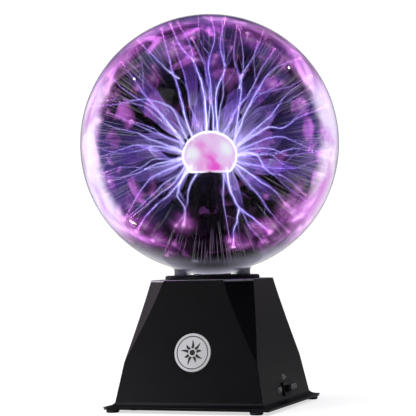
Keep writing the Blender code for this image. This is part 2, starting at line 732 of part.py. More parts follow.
def make_switch(frame):
    bezel = prism(
        "switch_bezel", rounded_rectangle(7.6 * MM, 4.7 * MM, 1.2 * MM), GAP, 1.0 * MM, black_plastic(), frame
    )
    bezel.rotation_euler = FACE_OUT
    window = bmesh.new()
    add_box(window, (-1 * MM, -5.8 * MM, -2.4 * MM), (3 * MM, 5.8 * MM, 2.4 * MM))
    cut(bezel, object_from("bezel_window_tool", window, None, frame))

    low, high = (-1.6 * MM, -2.2 * MM, -2.0 * MM), (3.2 * MM, 2.2 * MM, 2.0 * MM)
    knob = box("switch_knob", low, high, black_plastic(), frame)
    stalk = bmesh.new()
    add_box(stalk, (-6.4 * MM, -1.5 * MM, -1.0 * MM), (-1.0 * MM, 1.5 * MM, 1.0 * MM))
    join(knob, object_from("knob_stalk_tool", stalk, None, frame))
    foot = bmesh.new()
    add_box(foot, (-8.0 * MM, -2.0 * MM, -1.4 * MM), (-6.2 * MM, 2.0 * MM, 1.4 * MM))
    join(knob, object_from("knob_foot_tool", foot, None, frame))
    grooves = bmesh.new()
    for k in (-1, 0, 1):
        y = k * 1.3 * MM
        add_box(grooves, (2.7 * MM, y - 0.3 * MM, -3 * MM), (4 * MM, y + 0.3 * MM, 3 * MM))
    cut(knob, object_from("knob_groove_tool", grooves, None, frame))

    low, high = (-5.6 * MM, -12.8 * MM, -3.4 * MM), (-5.0 * MM, 12.8 * MM, 3.4 * MM)
    plate = box("switch_frame", low, high, bright_steel(), frame)
    openings = bmesh.new()
    add_box(openings, (-7 * MM, -5.3 * MM, -1.5 * MM), (-4 * MM, 5.3 * MM, 1.5 * MM))
    for side in (-1, 1):
        add_rod(openings, 1.3 * MM, (-7 * MM, side * 10 * MM, 0), (-4 * MM, side * 10 * MM, 0), 12)
    cut(plate, object_from("switch_frame_tool", openings, None, frame))

    contacts = box(
        "switch_contacts",
        (-10.4 * MM, -7.4 * MM, -3.2 * MM),
        (-5.9 * MM, 7.4 * MM, 3.2 * MM),
        material("phenolic", (0.26, 0.11, 0.05), 0.6),
        frame,
    )
    pins = bmesh.new()
    for k in range(3):
        y = (k - 1) * 4 * MM
        add_box(pins, (-13.2 * MM, y - 0.4 * MM, -0.6 * MM), (-10.0 * MM, y + 0.4 * MM, 0.6 * MM))
    join(contacts, object_from("switch_pin_tool", pins, None, frame))
    pocket = bmesh.new()
    add_box(pocket, (-8.5 * MM, -6.0 * MM, -1.9 * MM), (-4 * MM, 6.0 * MM, 1.9 * MM))
    cut(contacts, object_from("switch_pocket_tool", pocket, None, frame))

    for name, side in (("switch_screw_front", -1), ("switch_screw_rear", 1)):
        screw = turned(
            name, screw_profile(1.0 * MM, 4.2 * MM, 1.9 * MM, 1.2 * MM), bright_steel(), 10, frame
        )
        screw.location = (-5.9 * MM, side * 10 * MM, 0)
        screw.rotation_euler = AXIS_OUT


def make_jack(frame):
    bore, pin_hole = 3.2 * MM, 1.4 * MM
    profile = [
        (bore, 1.8 * MM), (bore, -8 * MM), (pin_hole, -8 * MM), (pin_hole, -12 * MM), (4.9 * MM, -12 * MM),
        (4.9 * MM, GAP), (6.6 * MM, GAP), (6.6 * MM, 1.3 * MM), (6.1 * MM, 1.8 * MM),
    ]
    jack = turned("power_jack", profile, black_plastic(), 24, frame)
    jack.rotation_euler = AXIS_OUT

    pin_profile = [
        (0, 0.6 * MM), (0.6 * MM, 0.6 * MM), (1.05 * MM, 0), (1.05 * MM, -12.3 * MM), (2.4 * MM, -12.3 * MM),
        (2.4 * MM, -13.3 * MM), (0, -13.3 * MM),
    ]
    pin = turned("jack_pin", pin_profile, bright_steel(), 12, frame)
    pin.rotation_euler = AXIS_OUT

    nut = [(8.4 * MM * math.cos(math.pi * k / 3), 8.4 * MM * math.sin(math.pi * k / 3)) for k in range(6)]
    ring = prism("jack_nut", nut, -5.0 * MM, -WALL - 0.4 * MM, bright_steel(), frame)
    ring.rotation_euler = FACE_OUT
    hole = bmesh.new()
    add_rod(hole, 5.2 * MM, (-7 * MM, 0, 0), (0, 0, 0), 20)
    cut(ring, object_from("nut_hole_tool", hole, None, frame))


def make_microphone(frame):
    """The microphone sits in a rubber cup behind its pinhole, beside the jack."""
    centre = (0, -16 * MM, 0)
    inside = -WALL - GAP
    cup = [
        (5.2 * MM, inside - 0.9 * MM), (1.2 * MM, inside - 0.9 * MM), (1.2 * MM, inside), (6.4 * MM, inside),
        (6.4 * MM, inside - 6.0 * MM), (5.2 * MM, inside - 6.0 * MM),
    ]
    grommet = turned("microphone_grommet", cup, black_rubber(), 18, frame)
    grommet.location, grommet.rotation_euler = centre, AXIS_OUT
    face = inside - 1.2 * MM
    can = [(0, face), (4.8 * MM, face), (4.8 * MM, face - 5.6 * MM), (0, face - 5.6 * MM)]
    capsule = turned("microphone_capsule", can, aluminium(), 16, frame)
    capsule.location, capsule.rotation_euler = centre, AXIS_OUT


def make_badge(frame):
    silver = material("badge_silver", (0.45, 0.45, 0.46), 0.4, 0.3)
    edge, break_width = 0.5 * MM, 0.3 * MM
    profile = [
        (0, -0.3 * MM), (BADGE_RADIUS, -0.3 * MM), (BADGE_RADIUS, edge - break_width),
        (BADGE_RADIUS - break_width, edge), (0, edge),
    ]
    badge = turned("front_badge", profile, silver, 36, frame)
    badge.rotation_euler = AXIS_OUT


# ---- wiring ----------------------------------------------------------------------------------------
def make_wiring(frames):
    bpy.context.view_layer.update()
    high_voltage = material("silicone_lead", (0.55, 0.04, 0.03), 0.45)
    coil_top = TRANSFORMER + Vector((-3.5 * MM, 0, 8.6 * MM + GAP + 1.6 * MM))
    climb = [
        coil_top, (-14 * MM, -3 * MM, 40 * MM), (-7 * MM, -2 * MM, 52 * MM), (0, 0, 61 * MM), (0, 0, 78 * MM),
        (0, 0, 120 * MM), (0, 0, 160.4 * MM),
    ]
    lead("high_voltage_lead", climb, 1.5 * MM, high_voltage)

    switch = frames["switch"].matrix_world
    for k, (name, colour) in enumerate(
        (
            ("switch_wire_off", (0.02, 0.02, 0.02)),
            ("switch_wire_on", (0.50, 0.03, 0.02)),
            ("switch_wire_audio", (0.55, 0.42, 0.05)),
        )
    ):
        y = (k - 1) * 4 * MM
        start = switch @ Vector((-13.5 * MM - 0.6 * MM, y, 0.6 * MM))
        end = Vector((27 * MM, start.y + (k - 1) * MM, PART_REST_Z + 0.6 * MM))
        over = (start + end) / 2 + Vector((0, 0, 5.5 * MM))
        rise = start + Vector((-0.9 * MM, 0, 3.0 * MM))
        drop = end + Vector((0.4 * MM, 0, 2.6 * MM))
        lead(name, [start, rise, over, drop, end], 0.6 * MM, material(name, colour, 0.45), steps=3)

    jack = frames["jack"].matrix_world
    red, black = (0.5, 0.03, 0.02), (0.02, 0.02, 0.02)
    for name, side, colour in (("jack_wire_plus", 1, red), ("jack_wire_minus", -1, black)):
        start = jack @ Vector((-14.3 * MM, side * 1.6 * MM, 0))
        end = Vector((-6 * MM - side * 1.6 * MM, 26 * MM, PART_REST_Z + 0.7 * MM))
        middle = (start + end) / 2 + Vector((0, -1.5 * MM, 1.5 * MM))
        lead(name, [start, middle, end], 0.7 * MM, material(name, colour, 0.45), steps=4)


def build():
    clear_scene()
    frames = {
        "switch": wall_frame("switch_place", 0.0, SWITCH_ALONG, SWITCH_HEIGHT),
        "badge": wall_frame("badge_place", -math.pi / 2, BADGE_ALONG, BADGE_HEIGHT),
        "jack": wall_frame("jack_place", math.pi / 2, 0.0, JACK_HEIGHT),
    }
    make_housing(frames)
    make_bottom_plate()
    make_feet()
    make_case_screws()
    make_globe()
    make_stem()
    make_neck_fittings()
    make_board()
    make_transformer()
    make_power_stage()
    make_capacitors()
    make_small_parts()
    make_switch(frames["switch"])
    make_jack(frames["jack"])
    make_microphone(frames["jack"])
    make_badge(frames["badge"])
    make_wiring(frames)


build()
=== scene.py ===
"""Looks for the plasma ball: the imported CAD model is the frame, and finer pieces ride on its bodies."""

import math
import random

import bmesh
import bpy
from mathutils import Matrix, Vector, noise


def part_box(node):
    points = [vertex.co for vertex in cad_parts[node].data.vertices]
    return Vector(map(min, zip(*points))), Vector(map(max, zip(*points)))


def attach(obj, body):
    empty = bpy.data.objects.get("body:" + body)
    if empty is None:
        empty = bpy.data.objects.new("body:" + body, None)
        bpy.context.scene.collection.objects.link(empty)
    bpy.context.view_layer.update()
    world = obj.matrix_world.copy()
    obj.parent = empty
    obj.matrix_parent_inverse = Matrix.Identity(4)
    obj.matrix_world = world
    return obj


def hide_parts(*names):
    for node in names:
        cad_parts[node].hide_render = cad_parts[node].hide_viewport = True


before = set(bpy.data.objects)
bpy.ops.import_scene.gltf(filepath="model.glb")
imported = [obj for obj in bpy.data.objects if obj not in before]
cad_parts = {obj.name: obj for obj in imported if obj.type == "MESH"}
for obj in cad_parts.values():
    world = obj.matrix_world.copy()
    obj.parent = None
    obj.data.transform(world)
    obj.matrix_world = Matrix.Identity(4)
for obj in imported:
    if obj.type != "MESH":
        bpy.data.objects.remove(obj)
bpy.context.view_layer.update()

MM = 0.001
RANDOM_SEED = 20
noise.seed_set(RANDOM_SEED)  # noise_vector() would otherwise take its offsets from the clock
BASE = "base"
SLIDER = "slider"
CORNERS = ("front_left", "front_right", "rear_right", "rear_left")


# ---- places read from the CAD model ----
def box(node):
    low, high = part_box(node)
    return Vector(low), Vector(high)


globe_low, globe_high = box("glass_globe")
GLOBE_RADIUS = (globe_high.x - globe_low.x) / 2 - 0.01 * MM
CAD_GLOBE_RADIUS = 89.0 * MM
GLOBE_CENTRE = Vector((0, 0, globe_high.z - CAD_GLOBE_RADIUS))
NECK_END_Z = globe_low.z
NECK_RADIUS = 26.0 * MM
GLASS_WALL = 0.5 * MM  # light passes this glass unbent, so it is drawn thinner than the CAD glass
GAS_RADIUS = GLOBE_RADIUS - GLASS_WALL - 0.1 * MM

house_low, house_high = box("base_housing")
BASE_TOP_Z = house_high.z
SKIRT_BOTTOM_Z = house_low.z
SKIRT_HALF = house_high.x
BASE_HALF_BOTTOM = 51.75 * MM
BASE_HALF_TOP = 36.7 * MM
SKIRT_TOP_Z = 5.8 * MM
FACET_START_Z = 32.0 * MM
FACET_TOP = 15.5 * MM
FACET_CURVE = 1.25
WALL = 2.24 * MM
WALL_SLOPE = (BASE_HALF_TOP - BASE_HALF_BOTTOM) / (BASE_TOP_Z - SKIRT_TOP_Z)
WALL_LEAN = math.atan(-WALL_SLOPE)

stem_high = box("stem_glass")[1]
BULB_HALF_HEIGHT = 17.0 * MM
BULB_RADIUS = 19.0 * MM
BULB_CENTRE = Vector((0, 0, stem_high.z - BULB_HALF_HEIGHT))
BULB_CUT_Z = BULB_CENTRE.z - 11.3 * MM
STEM_RADIUS_TOP = 8.8 * MM


# ---- camera ----
CAMERA_PLACE = Vector((350.3, -937.2, 99.8)) * MM
CAMERA_AZIMUTH = math.radians(20.61)  # to the right of the front
CAMERA_RISE = math.radians(2.03)  # it looks up a little
CAMERA_ROLL = math.radians(-1.25)

TOWARDS = Vector((math.sin(CAMERA_AZIMUTH), -math.cos(CAMERA_AZIMUTH), 0))
ACROSS = Vector((math.cos(CAMERA_AZIMUTH), math.sin(CAMERA_AZIMUTH), 0))
UP = Vector((0, 0, 1))


def make_camera():
    data = bpy.data.cameras.new("photo_camera")
    data.sensor_width = 36
    data.lens = 126.06
    data.clip_start = 0.02
    camera = bpy.data.objects.new("photo_camera", data)
    bpy.context.scene.collection.objects.link(camera)
    back = TOWARDS * math.cos(CAMERA_RISE) - UP * math.sin(CAMERA_RISE)
    right = UP.cross(back).normalized()
    turn = Matrix((right, back.cross(right), back)).transposed().to_4x4()
    camera.matrix_world = Matrix.Translation(CAMERA_PLACE) @ turn @ Matrix.Rotation(CAMERA_ROLL, 4, "Z")
    bpy.context.scene.camera = camera


# ---- node helpers ----
class Graph:
    """One material's node tree, with short calls for the nodes used here."""

    def __init__(self, name):
        self.material = bpy.data.materials.new(name)
        self.material.use_nodes = True
        self.tree = self.material.node_tree
        self.tree.nodes.clear()
        self.out = self.tree.nodes.new("ShaderNodeOutputMaterial")

    def node(self, kind, inputs=None, **settings):
        made = self.tree.nodes.new(kind)
        for key, value in settings.items():
            setattr(made, key, value)
        for key, value in (inputs or {}).items():
            self.put(made.inputs[key], value)
        return made

    def put(self, socket, value):
        if isinstance(value, bpy.types.NodeSocket):
            self.tree.links.new(value, socket)
        elif isinstance(value, tuple) and len(value) == 3 and socket.type == "RGBA":
            socket.default_value = (*value, 1.0)
        else:
            socket.default_value = value

    def math(self, operation, a, b, clamp=False):
        return self.node("ShaderNodeMath", {0: a, 1: b}, operation=operation, use_clamp=clamp).outputs[0]

    def times(self, a, b, clamp=False):
        return self.math("MULTIPLY", a, b, clamp)

    def plus(self, a, b, clamp=False):
        return self.math("ADD", a, b, clamp)

    def minus(self, a, b):
        return self.math("SUBTRACT", a, b)

    def larger(self, a, b):
        return self.math("MAXIMUM", a, b)

    def ramp(self, value, low, high, to_low=0.0, to_high=1.0):
        inputs = {"Value": value, "From Min": low, "From Max": high, "To Min": to_low, "To Max": to_high}
        return self.node("ShaderNodeMapRange", inputs, interpolation_type="SMOOTHSTEP").outputs["Result"]

    def mix(self, factor, a, b):
        return self.node("ShaderNodeMix", {0: factor, 6: a, 7: b}, data_type="RGBA").outputs[2]

    def place(self):
        return self.node("ShaderNodeTexCoord").outputs["Object"]

    def stretched(self, scale):
        return self.node("ShaderNodeMapping", {"Vector": self.place(), "Scale": scale}).outputs[0]

    def noise(self, scale, detail=3.0, rough=0.55, vector=None, distortion=0.0):
        inputs = {"Scale": scale, "Detail": detail, "Roughness": rough, "Distortion": distortion}
        inputs["Vector"] = vector or self.place()
        return self.node("ShaderNodeTexNoise", inputs).outputs["Fac"]

    def vectors(self, operation, a, b, output="Vector"):
        return self.node("ShaderNodeVectorMath", {0: a, 1: b}, operation=operation).outputs[output]

    def bump(self, height, distance):
        return self.node("ShaderNodeBump", {"Height": height, "Distance": distance}).outputs[0]

    def height(self):
        return self.node("ShaderNodeSeparateXYZ", {0: self.place()}).outputs["Z"]

    def edge(self):
        """0 where the surface faces the viewer, 1 at its outline."""
        return self.node("ShaderNodeLayerWeight", {"Blend": 0.5}).outputs["Facing"]

    def facing(self):
        return self.minus(1.0, self.edge())

    def glow_colour(self):
        return self.node("ShaderNodeVertexColor", layer_name="glow").outputs["Color"]

    def clear(self, colour):
        return self.node("ShaderNodeBsdfTransparent", {"Color": colour}).outputs[0]

    def shine(self, colour, strength):
        return self.node("ShaderNodeEmission", {"Color": colour, "Strength": strength}).outputs[0]

    def both(self, a, b):
        return self.node("ShaderNodeAddShader", {0: a, 1: b}).outputs[0]

    def layered(self, share, under, over):
        return self.node("ShaderNodeMixShader", {0: share, 1: under, 2: over}).outputs[0]

    def principled(self, inputs):
        return self.node("ShaderNodeBsdfPrincipled", inputs).outputs[0]

    def finish(self, surface, volume=None):
        self.tree.links.new(surface, self.out.inputs["Surface"])
        if volume:
            self.tree.links.new(volume, self.out.inputs["Volume"])
        return self.material


def plain_surface(name, colour, rough, metallic, vary, grain, bump, specular=0.5, coat=0.0):
    """A moulded, plated or painted surface: mottled colour, uneven gloss and a fine grain (bump in mm)."""
    g = Graph(name)
    broad = g.noise(60.0, 4.0)
    fine = g.noise(grain, 2.0)
    dark = tuple(c * (1 - vary) for c in colour)
    light = tuple(min(c * (1 + vary) + 0.002, 1.0) for c in colour)
    mottle = g.plus(g.times(broad, 0.6), g.times(fine, 0.4))
    inputs = {
        "Base Color": g.mix(g.ramp(mottle, 0.3, 0.7), dark, light),
        "Roughness": g.ramp(broad, 0.3, 0.7, rough * 0.85, min(rough * 1.15, 1.0)),
        "Metallic": metallic,
        "Specular IOR Level": specular,
        "Coat Weight": coat,
        "Normal": g.bump(fine, bump * MM),
    }
    return g.finish(g.principled(inputs))


# ---- opaque materials ----
def housing_plastic():
    """Black ABS with a fine grain, paler along its worn edges, which also carry a painted edge highlight, and
    with a painted highlight round its top rim, coloured near-white and metallic.
    """
    g = Graph("housing_plastic")
    grain = g.noise(2600.0, 2.0, 0.6)
    mottle = g.noise(1100.0, 3.0, 0.6)
    broad = g.noise(26.0, 3.0)
    body = g.mix(g.ramp(mottle, 0.35, 0.65), (0.0002, 0.0001, 0.0005), (0.0034, 0.0028, 0.0048))
    body = g.mix(g.ramp(broad, 0.35, 0.7, 0.0, 0.3), body, (0.0030, 0.0027, 0.0038))
    # Paler edges from a bevel mask: partly worn edges, partly a painted edge highlight.
    rounded = g.node("ShaderNodeBevel", {"Radius": 0.7 * MM}, samples=6).outputs[0]
    true_normal = g.node("ShaderNodeNewGeometry").outputs["True Normal"]
    edge = g.ramp(g.vectors("DOT_PRODUCT", rounded, true_normal, "Value"), 0.97, 0.80)
    wear_and_edge_highlight = g.times(edge, g.ramp(g.noise(160.0, 3.0), 0.30, 0.65, 0.15, 1.0))
    body = g.mix(g.times(wear_and_edge_highlight, 0.9), body, (0.06, 0.055, 0.065))
    # Painted highlight: the bevel faces round the top rim, broken by noise, are coloured near-white and made
    # metallic so that they shine as a bright line.
    rise = g.node("ShaderNodeSeparateXYZ", {0: true_normal}).outputs["Z"]
    rim = g.times(g.ramp(rise, 0.20, 0.36), g.ramp(rise, 0.995, 0.97))
    rim = g.times(rim, g.ramp(g.height(), 85.0 * MM, 85.8 * MM))
    rim = g.times(rim, g.ramp(g.noise(90.0, 3.0), 0.30, 0.55, 0.35, 1.0))
    body = g.mix(rim, body, (0.90, 0.90, 0.92))
    rough = g.minus(g.ramp(mottle, 0.3, 0.7, 0.29, 0.38), g.times(wear_and_edge_highlight, 0.15))
    height = g.plus(grain, g.times(mottle, 0.7))
    inputs = {"Base Color": body, "Roughness": rough, "Metallic": rim, "Specular IOR Level": 0.20}
    return g.finish(g.principled({**inputs, "Normal": g.bump(height, 0.028 * MM)}))


def circuit_board():
    """Tan board with woven fibre and a net of darker tracks."""
    g = Graph("circuit_board_look")
    fibre = g.noise(420.0, 4.0, vector=g.stretched((1, 4, 1)))
    tone = g.mix(g.ramp(fibre, 0.3, 0.7), (0.36, 0.22, 0.07), (0.50, 0.33, 0.12))
    cells = g.node("ShaderNodeTexVoronoi", {"Vector": g.place(), "Scale": 190.0}, feature="DISTANCE_TO_EDGE")
    track = g.ramp(cells.outputs["Distance"], 0.10, 0.13, 1.0, 0.0)
    tone = g.mix(g.times(track, 0.35), tone, (0.20, 0.16, 0.04))
    rough = g.ramp(fibre, 0.3, 0.7, 0.4, 0.6)
    inputs = {"Base Color": tone, "Roughness": rough, "Normal": g.bump(track, 0.03 * MM)}
    return g.finish(g.principled(inputs))


def wound_coil(name, light, dark, metallic, rough, axis_scale):
    """Turns of wire or wrapped tape, seen as fine ridges along the coil."""
    g = Graph(name)
    wave = {"Vector": g.place(), "Scale": axis_scale, "Distortion": 0.4}
    ridge = g.node("ShaderNodeTexWave", wave, wave_type="BANDS", bands_direction="X").outputs["Fac"]
    inputs = {
        "Base Color": g.mix(g.ramp(ridge, 0.1, 0.9), dark, light),
        "Roughness": g.ramp(g.noise(150.0), 0.3, 0.7, rough * 0.8, rough * 1.2),
        "Metallic": metallic,
        "Normal": g.bump(ridge, 0.06 * MM),
    }
    return g.finish(g.principled(inputs))


def wool_look():
    g = Graph("steel_wool_look")
    strands = g.noise(900.0, 6.0, 0.7, vector=g.stretched((1.0, 1.0, 0.25)), distortion=2.0)
    tone = g.mix(g.ramp(strands, 0.35, 0.65), (0.08, 0.08, 0.085), (0.60, 0.59, 0.58))
    rough = g.ramp(strands, 0.3, 0.7, 0.3, 0.6)
    inputs = {"Base Color": tone, "Roughness": rough, "Metallic": 1.0, "Normal": g.bump(strands, 0.2 * MM)}
    return g.finish(g.principled(inputs))


# ---- mesh helpers ----
def to_object(name, bm, material, smooth_angle=35.0):
    bmesh.ops.remove_doubles(bm, verts=bm.verts, dist=1e-7)
    bmesh.ops.recalc_face_normals(bm, faces=bm.faces)
    limit = math.radians(smooth_angle)
    for face in bm.faces:
        face.smooth = True
    for edge in bm.edges:
        edge.smooth = edge.is_manifold and edge.calc_face_angle() < limit
    mesh = bpy.data.meshes.new(name)
    bm.to_mesh(mesh)
    bm.free()
    if material:
        mesh.materials.append(material)
    made = bpy.data.objects.new(name, mesh)
    bpy.context.scene.collection.objects.link(made)
    return made


def belongs(piece, body, slot, *nodes):
    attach(piece, body)
    if nodes:
        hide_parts(*nodes)


def applied(made):
    """Turns an object's modifiers into its mesh."""
    bpy.context.view_layer.update()
    graph = bpy.context.evaluated_depsgraph_get()
    mesh = bpy.data.meshes.new_from_object(made.evaluated_get(graph))
    made.modifiers.clear()
    made.data = mesh
    return made


def bevel(made, width, segments, angle):
    modifier = made.modifiers.new("edge", "BEVEL")
    modifier.width = width
    modifier.segments = segments
    modifier.limit_method = "ANGLE"
    modifier.angle_limit = math.radians(angle)
    return applied(made)


def flat_faces(made):
    """Gives the small rounding faces the turn of the light and leaves the large walls flat."""
    modifier = made.modifiers.new("walls", "WEIGHTED_NORMAL")
    modifier.weight = 100
    modifier.keep_sharp = True
    return applied(made)


def cut(made, shape, operation="DIFFERENCE"):
    """Takes a shape out of an object, or joins it on with UNION."""
    tool = to_object("tool", shape, None)
    modifier = made.modifiers.new("cut", "BOOLEAN")
    modifier.object = tool
    modifier.operation = operation
    modifier.solver = "EXACT"
    applied(made)
    bpy.data.objects.remove(tool)
    return made


def turned_mesh(profile, segments):
    """Spins (radius, height) points about Z. The profile is closed unless both its ends are on the axis."""
    bm = bmesh.new()
    verts = [bm.verts.new((r, 0, z)) for r, z in profile]
    pairs = list(zip(verts, verts[1:]))
    if not (profile[0][0] == 0 and profile[-1][0] == 0):
        pairs.append((verts[-1], verts[0]))
    edges = [bm.edges.new(pair) for pair in pairs]
    whole = {"cent": (0, 0, 0), "axis": (0, 0, 1), "angle": 2 * math.pi, "use_merge": True}
    bmesh.ops.spin(bm, geom=verts + edges, steps=segments, **whole)
    return bm


def turned(name, profile, material, segments=96, smooth_angle=35.0):
    return to_object(name, turned_mesh(profile, segments), material, smooth_angle)


def arc(centre, radius_x, radius_z, start, end, count):
    steps = [start + (end - start) * k / (count - 1) for k in range(count)]
    return [(centre[0] + radius_x * math.cos(a), centre[1] + radius_z * math.sin(a)) for a in steps]


def with_pole(points):
    return [*points[:-1], (0, points[-1][1])]


def loft(rings):
    bm = bmesh.new()
    rows = [[bm.verts.new(p) for p in ring] for ring in rings]
    for lower, upper in zip(rows, rows[1:]):
        for i in range(len(lower)):
            j = (i + 1) % len(lower)
            bm.faces.new((lower[i], lower[j], upper[j], upper[i]))
    bm.faces.new(list(reversed(rows[0])))
    bm.faces.new(rows[-1])
    return bm


def joined(parts):
    """Puts several shapes into one."""
    whole = bmesh.new()
    for part in parts:
        mesh = bpy.data.meshes.new("part")
        part.to_mesh(mesh)
        part.free()
        whole.from_mesh(mesh)
        bpy.data.meshes.remove(mesh)
    return whole


def prism_mesh(outline, bottom, top):
    bm = bmesh.new()
    face = bm.faces.new([bm.verts.new((x, y, bottom)) for x, y in outline])
    grown = bmesh.ops.extrude_face_region(bm, geom=[face])
    raised = [v for v in grown["geom"] if isinstance(v, bmesh.types.BMVert)]
    bmesh.ops.translate(bm, verts=raised, vec=(0, 0, top - bottom))
    return bm


def rounded_rectangle(half_x, half_y, corner):
    points = []
    steps = 6
    for quarter, (sx, sy) in enumerate(((1, 1), (-1, 1), (-1, -1), (1, -1))):
        x, y = sx * (half_x - corner), sy * (half_y - corner)
        for k in range(steps + 1):
            turn = math.pi / 2 * (quarter + k / steps)
            points.append((x + corner * math.cos(turn), y + corner * math.sin(turn)))
    return points


# ---- base ----
def wall_half(z):
    return BASE_HALF_BOTTOM + WALL_SLOPE * (z - SKIRT_TOP_Z)


def facet_leg(z):
    share = min(max((z - FACET_START_Z) / (BASE_TOP_Z - FACET_START_Z), 0.0), 1.0)
    return FACET_TOP * (1 - (1 - share) ** FACET_CURVE)


def octagon(half, leg, z):
    near = half - leg
    quarters = ((1, 0), (0, 1), (-1, 0), (0, -1))
    return [(c * x - s * y, s * x + c * y, z) for c, s in quarters for x, y in ((near, -half), (half, -near))]


def wall_matrix(facing, along, height):
    """A frame on a wall's outer face: X out of the wall, Y along it, Z up it."""
    spin = Matrix.Rotation(facing, 4, "Z")
    return spin @ Matrix.Translation((wall_half(height), along, height)) @ Matrix.Rotation(-WALL_LEAN, 4, "Y")


def rod(radius, start, end, segments=48):
    bm = bmesh.new()
    start, end = Vector(start), Vector(end)
    axis = end - start
    place = Matrix.Translation((start + end) / 2) @ UP.rotation_difference(axis).to_matrix().to_4x4()
    both_ends = {"radius1": radius, "radius2": radius, "cap_ends": True}
    bmesh.ops.create_cone(bm, segments=segments, depth=axis.length, matrix=place, **both_ends)
    return bm


def block(low, high):
    bm = bmesh.new()
    centre = [(a + b) / 2 for a, b in zip(low, high)]
    size = [b - a for a, b in zip(low, high)]
    bmesh.ops.create_cube(bm, size=1.0, matrix=Matrix.Translation(centre) @ Matrix.Diagonal((*size, 1.0)))
    return bm


def placed(bm, matrix):
    bmesh.ops.transform(bm, matrix=matrix, verts=bm.verts)
    return bm


def centre_of(node):
    low, high = box(node)
    return (low + high) / 2


BADGE_RADIUS = 12.7 * MM
BADGE_HEIGHT = 39.1 * MM
SWITCH_HEIGHT = 12.0 * MM
JACK_HEIGHT = 20.0 * MM
SWITCH = wall_matrix(0.0, centre_of("switch_bezel").y, SWITCH_HEIGHT)
BADGE = wall_matrix(-math.pi / 2, centre_of("front_badge").x, BADGE_HEIGHT)
JACK = wall_matrix(math.pi / 2, 0.0, JACK_HEIGHT)
SCREW_POSTS = [(x * 42 * MM, y * 42 * MM) for x in (-1, 1) for y in (-1, 1)]
AXIS_OUT = Matrix.Rotation(math.pi / 2, 4, "Y")  # a turned piece's Z to a wall frame's X
FACE_OUT = Matrix(((0, 0, 1, 0), (1, 0, 0, 0), (0, 1, 0, 0), (0, 0, 0, 1)))  # (x, y, z) to (y, z, x)


def make_housing(plastic):
    rings = [octagon(SKIRT_HALF, 0, SKIRT_BOTTOM_Z)]
    rise = 3.4 * MM
    start = SKIRT_BOTTOM_Z + 0.6 * MM
    run = SKIRT_HALF - wall_half(start + rise)
    steps = 9
    for k in range(steps + 1):
        turn = math.pi / 2 * k / steps
        rings.append(octagon(SKIRT_HALF - run * math.sin(turn), 0, start + rise * (1 - math.cos(turn))))
    levels = 14
    for k in range(levels + 1):
        z = FACET_START_Z + (BASE_TOP_Z - FACET_START_Z) * k / levels
        rings.append(octagon(wall_half(z), facet_leg(z), z))
    housing = to_object("housing_shell", loft(rings), plastic, 12.0)
    bevel(housing, 0.55 * MM, 3, 24.0)
    leg_loss = (2 - math.sqrt(2)) * WALL
    inside = []
    for z in (0.0, SKIRT_TOP_Z, FACET_START_Z, 46 * MM, 60 * MM, 74 * MM, BASE_TOP_Z - 2.6 * MM):
        inside.append(octagon(wall_half(z) - WALL, max(facet_leg(z) - leg_loss, 0.0), z))
    cut(housing, loft(inside))
    cut(housing, rod(30.7 * MM, (0, 0, 0.08), (0, 0, 0.095), 96))
    slot = block((-5 * MM, -6.1 * MM, -2.5 * MM), (3 * MM, 6.1 * MM, 2.5 * MM))
    cut(housing, placed(slot, SWITCH))
    cut(housing, placed(rod(5.3 * MM, (-6 * MM, 0, 0), (4 * MM, 0, 0)), JACK))
    pinhole = rod(1.2 * MM, (-6 * MM, -16 * MM, 0), (4 * MM, -16 * MM, 0), 24)
    cut(housing, placed(pinhole, JACK))
    pocket = rod(BADGE_RADIUS + 0.3 * MM, (-0.6 * MM, 0, 0), (3 * MM, 0, 0), 96)
    cut(housing, placed(pocket, BADGE))
    posts = joined([rod(3.6 * MM, (x, y, 4.5 * MM), (x, y, 31.5 * MM), 24) for x, y in SCREW_POSTS])
    cut(housing, posts, "UNION")
    for x, y in SCREW_POSTS:
        cut(housing, rod(1.75 * MM, (x, y, 0), (x, y, 18 * MM), 24))
    flat_faces(housing)
    belongs(housing, BASE, "black_plastic", "base_housing")


def make_collar(plastic):
    low, high = box("globe_collar")
    top, seat = high.z, BASE_TOP_Z + 0.3 * MM
    side, lip = high.x, NECK_RADIUS + 0.4 * MM
    crown = 1.3 * MM
    rim = arc((side - crown, top - crown), crown, crown, 0, math.pi / 2, 9)
    inner = arc((lip + 0.4 * MM, top - 0.4 * MM), 0.4 * MM, 0.4 * MM, math.pi / 2, math.pi, 5)
    profile = [
        (30.4 * MM, low.z), (30.4 * MM, seat), (side - 0.2 * MM, seat), (side, seat + 0.2 * MM), *rim, *inner,
        (lip, top - 1.3 * MM), (28.4 * MM, top - 1.3 * MM), (28.4 * MM, low.z),
    ]
    collar = turned("collar_ring", profile, plastic, 128)
    belongs(collar, BASE, "black_plastic", "globe_collar")


def make_feet(rubber):
    for corner in CORNERS:
        low, high = box(f"foot_{corner}")
        radius, top = (high.x - low.x) / 2, high.z
        dome = arc((radius - 1.1 * MM, 1.1 * MM), 1.1 * MM, 1.1 * MM, -math.pi / 2, 0, 8)
        foot = turned(f"rubber_foot_{corner}", [(0, 0), *dome, (radius, top), (0, top)], rubber, 48)
        centre = (low + high) / 2
        foot.data.transform(Matrix.Translation((centre.x, centre.y, 0)))
        belongs(foot, BASE, "black_rubber", f"foot_{corner}")


def spark_outlines():
    """A generic spark: jagged rays of unequal length around a dot, inside a thin ring."""
    reaches = (8.4, 6.6, 8.0, 6.2, 8.4, 6.8, 7.8, 6.4, 8.2)
    outlines = []
    for k, reach in enumerate(reaches):
        turn = 2 * math.pi * k / len(reaches) + math.pi / 2
        lean = 0.45 if k % 2 else -0.45
        tip = [(reach, -0.20), (reach + 0.1, 0.12)]
        shape = [(2.9, -0.95), (4.9, -0.75 + lean), *tip, (4.9, 0.85 + lean), (2.9, 0.95)]
        c, s = math.cos(turn), math.sin(turn)
        outlines.append([((c * x - s * y) * MM, (s * x + c * y) * MM) for x, y in shape])
    return outlines


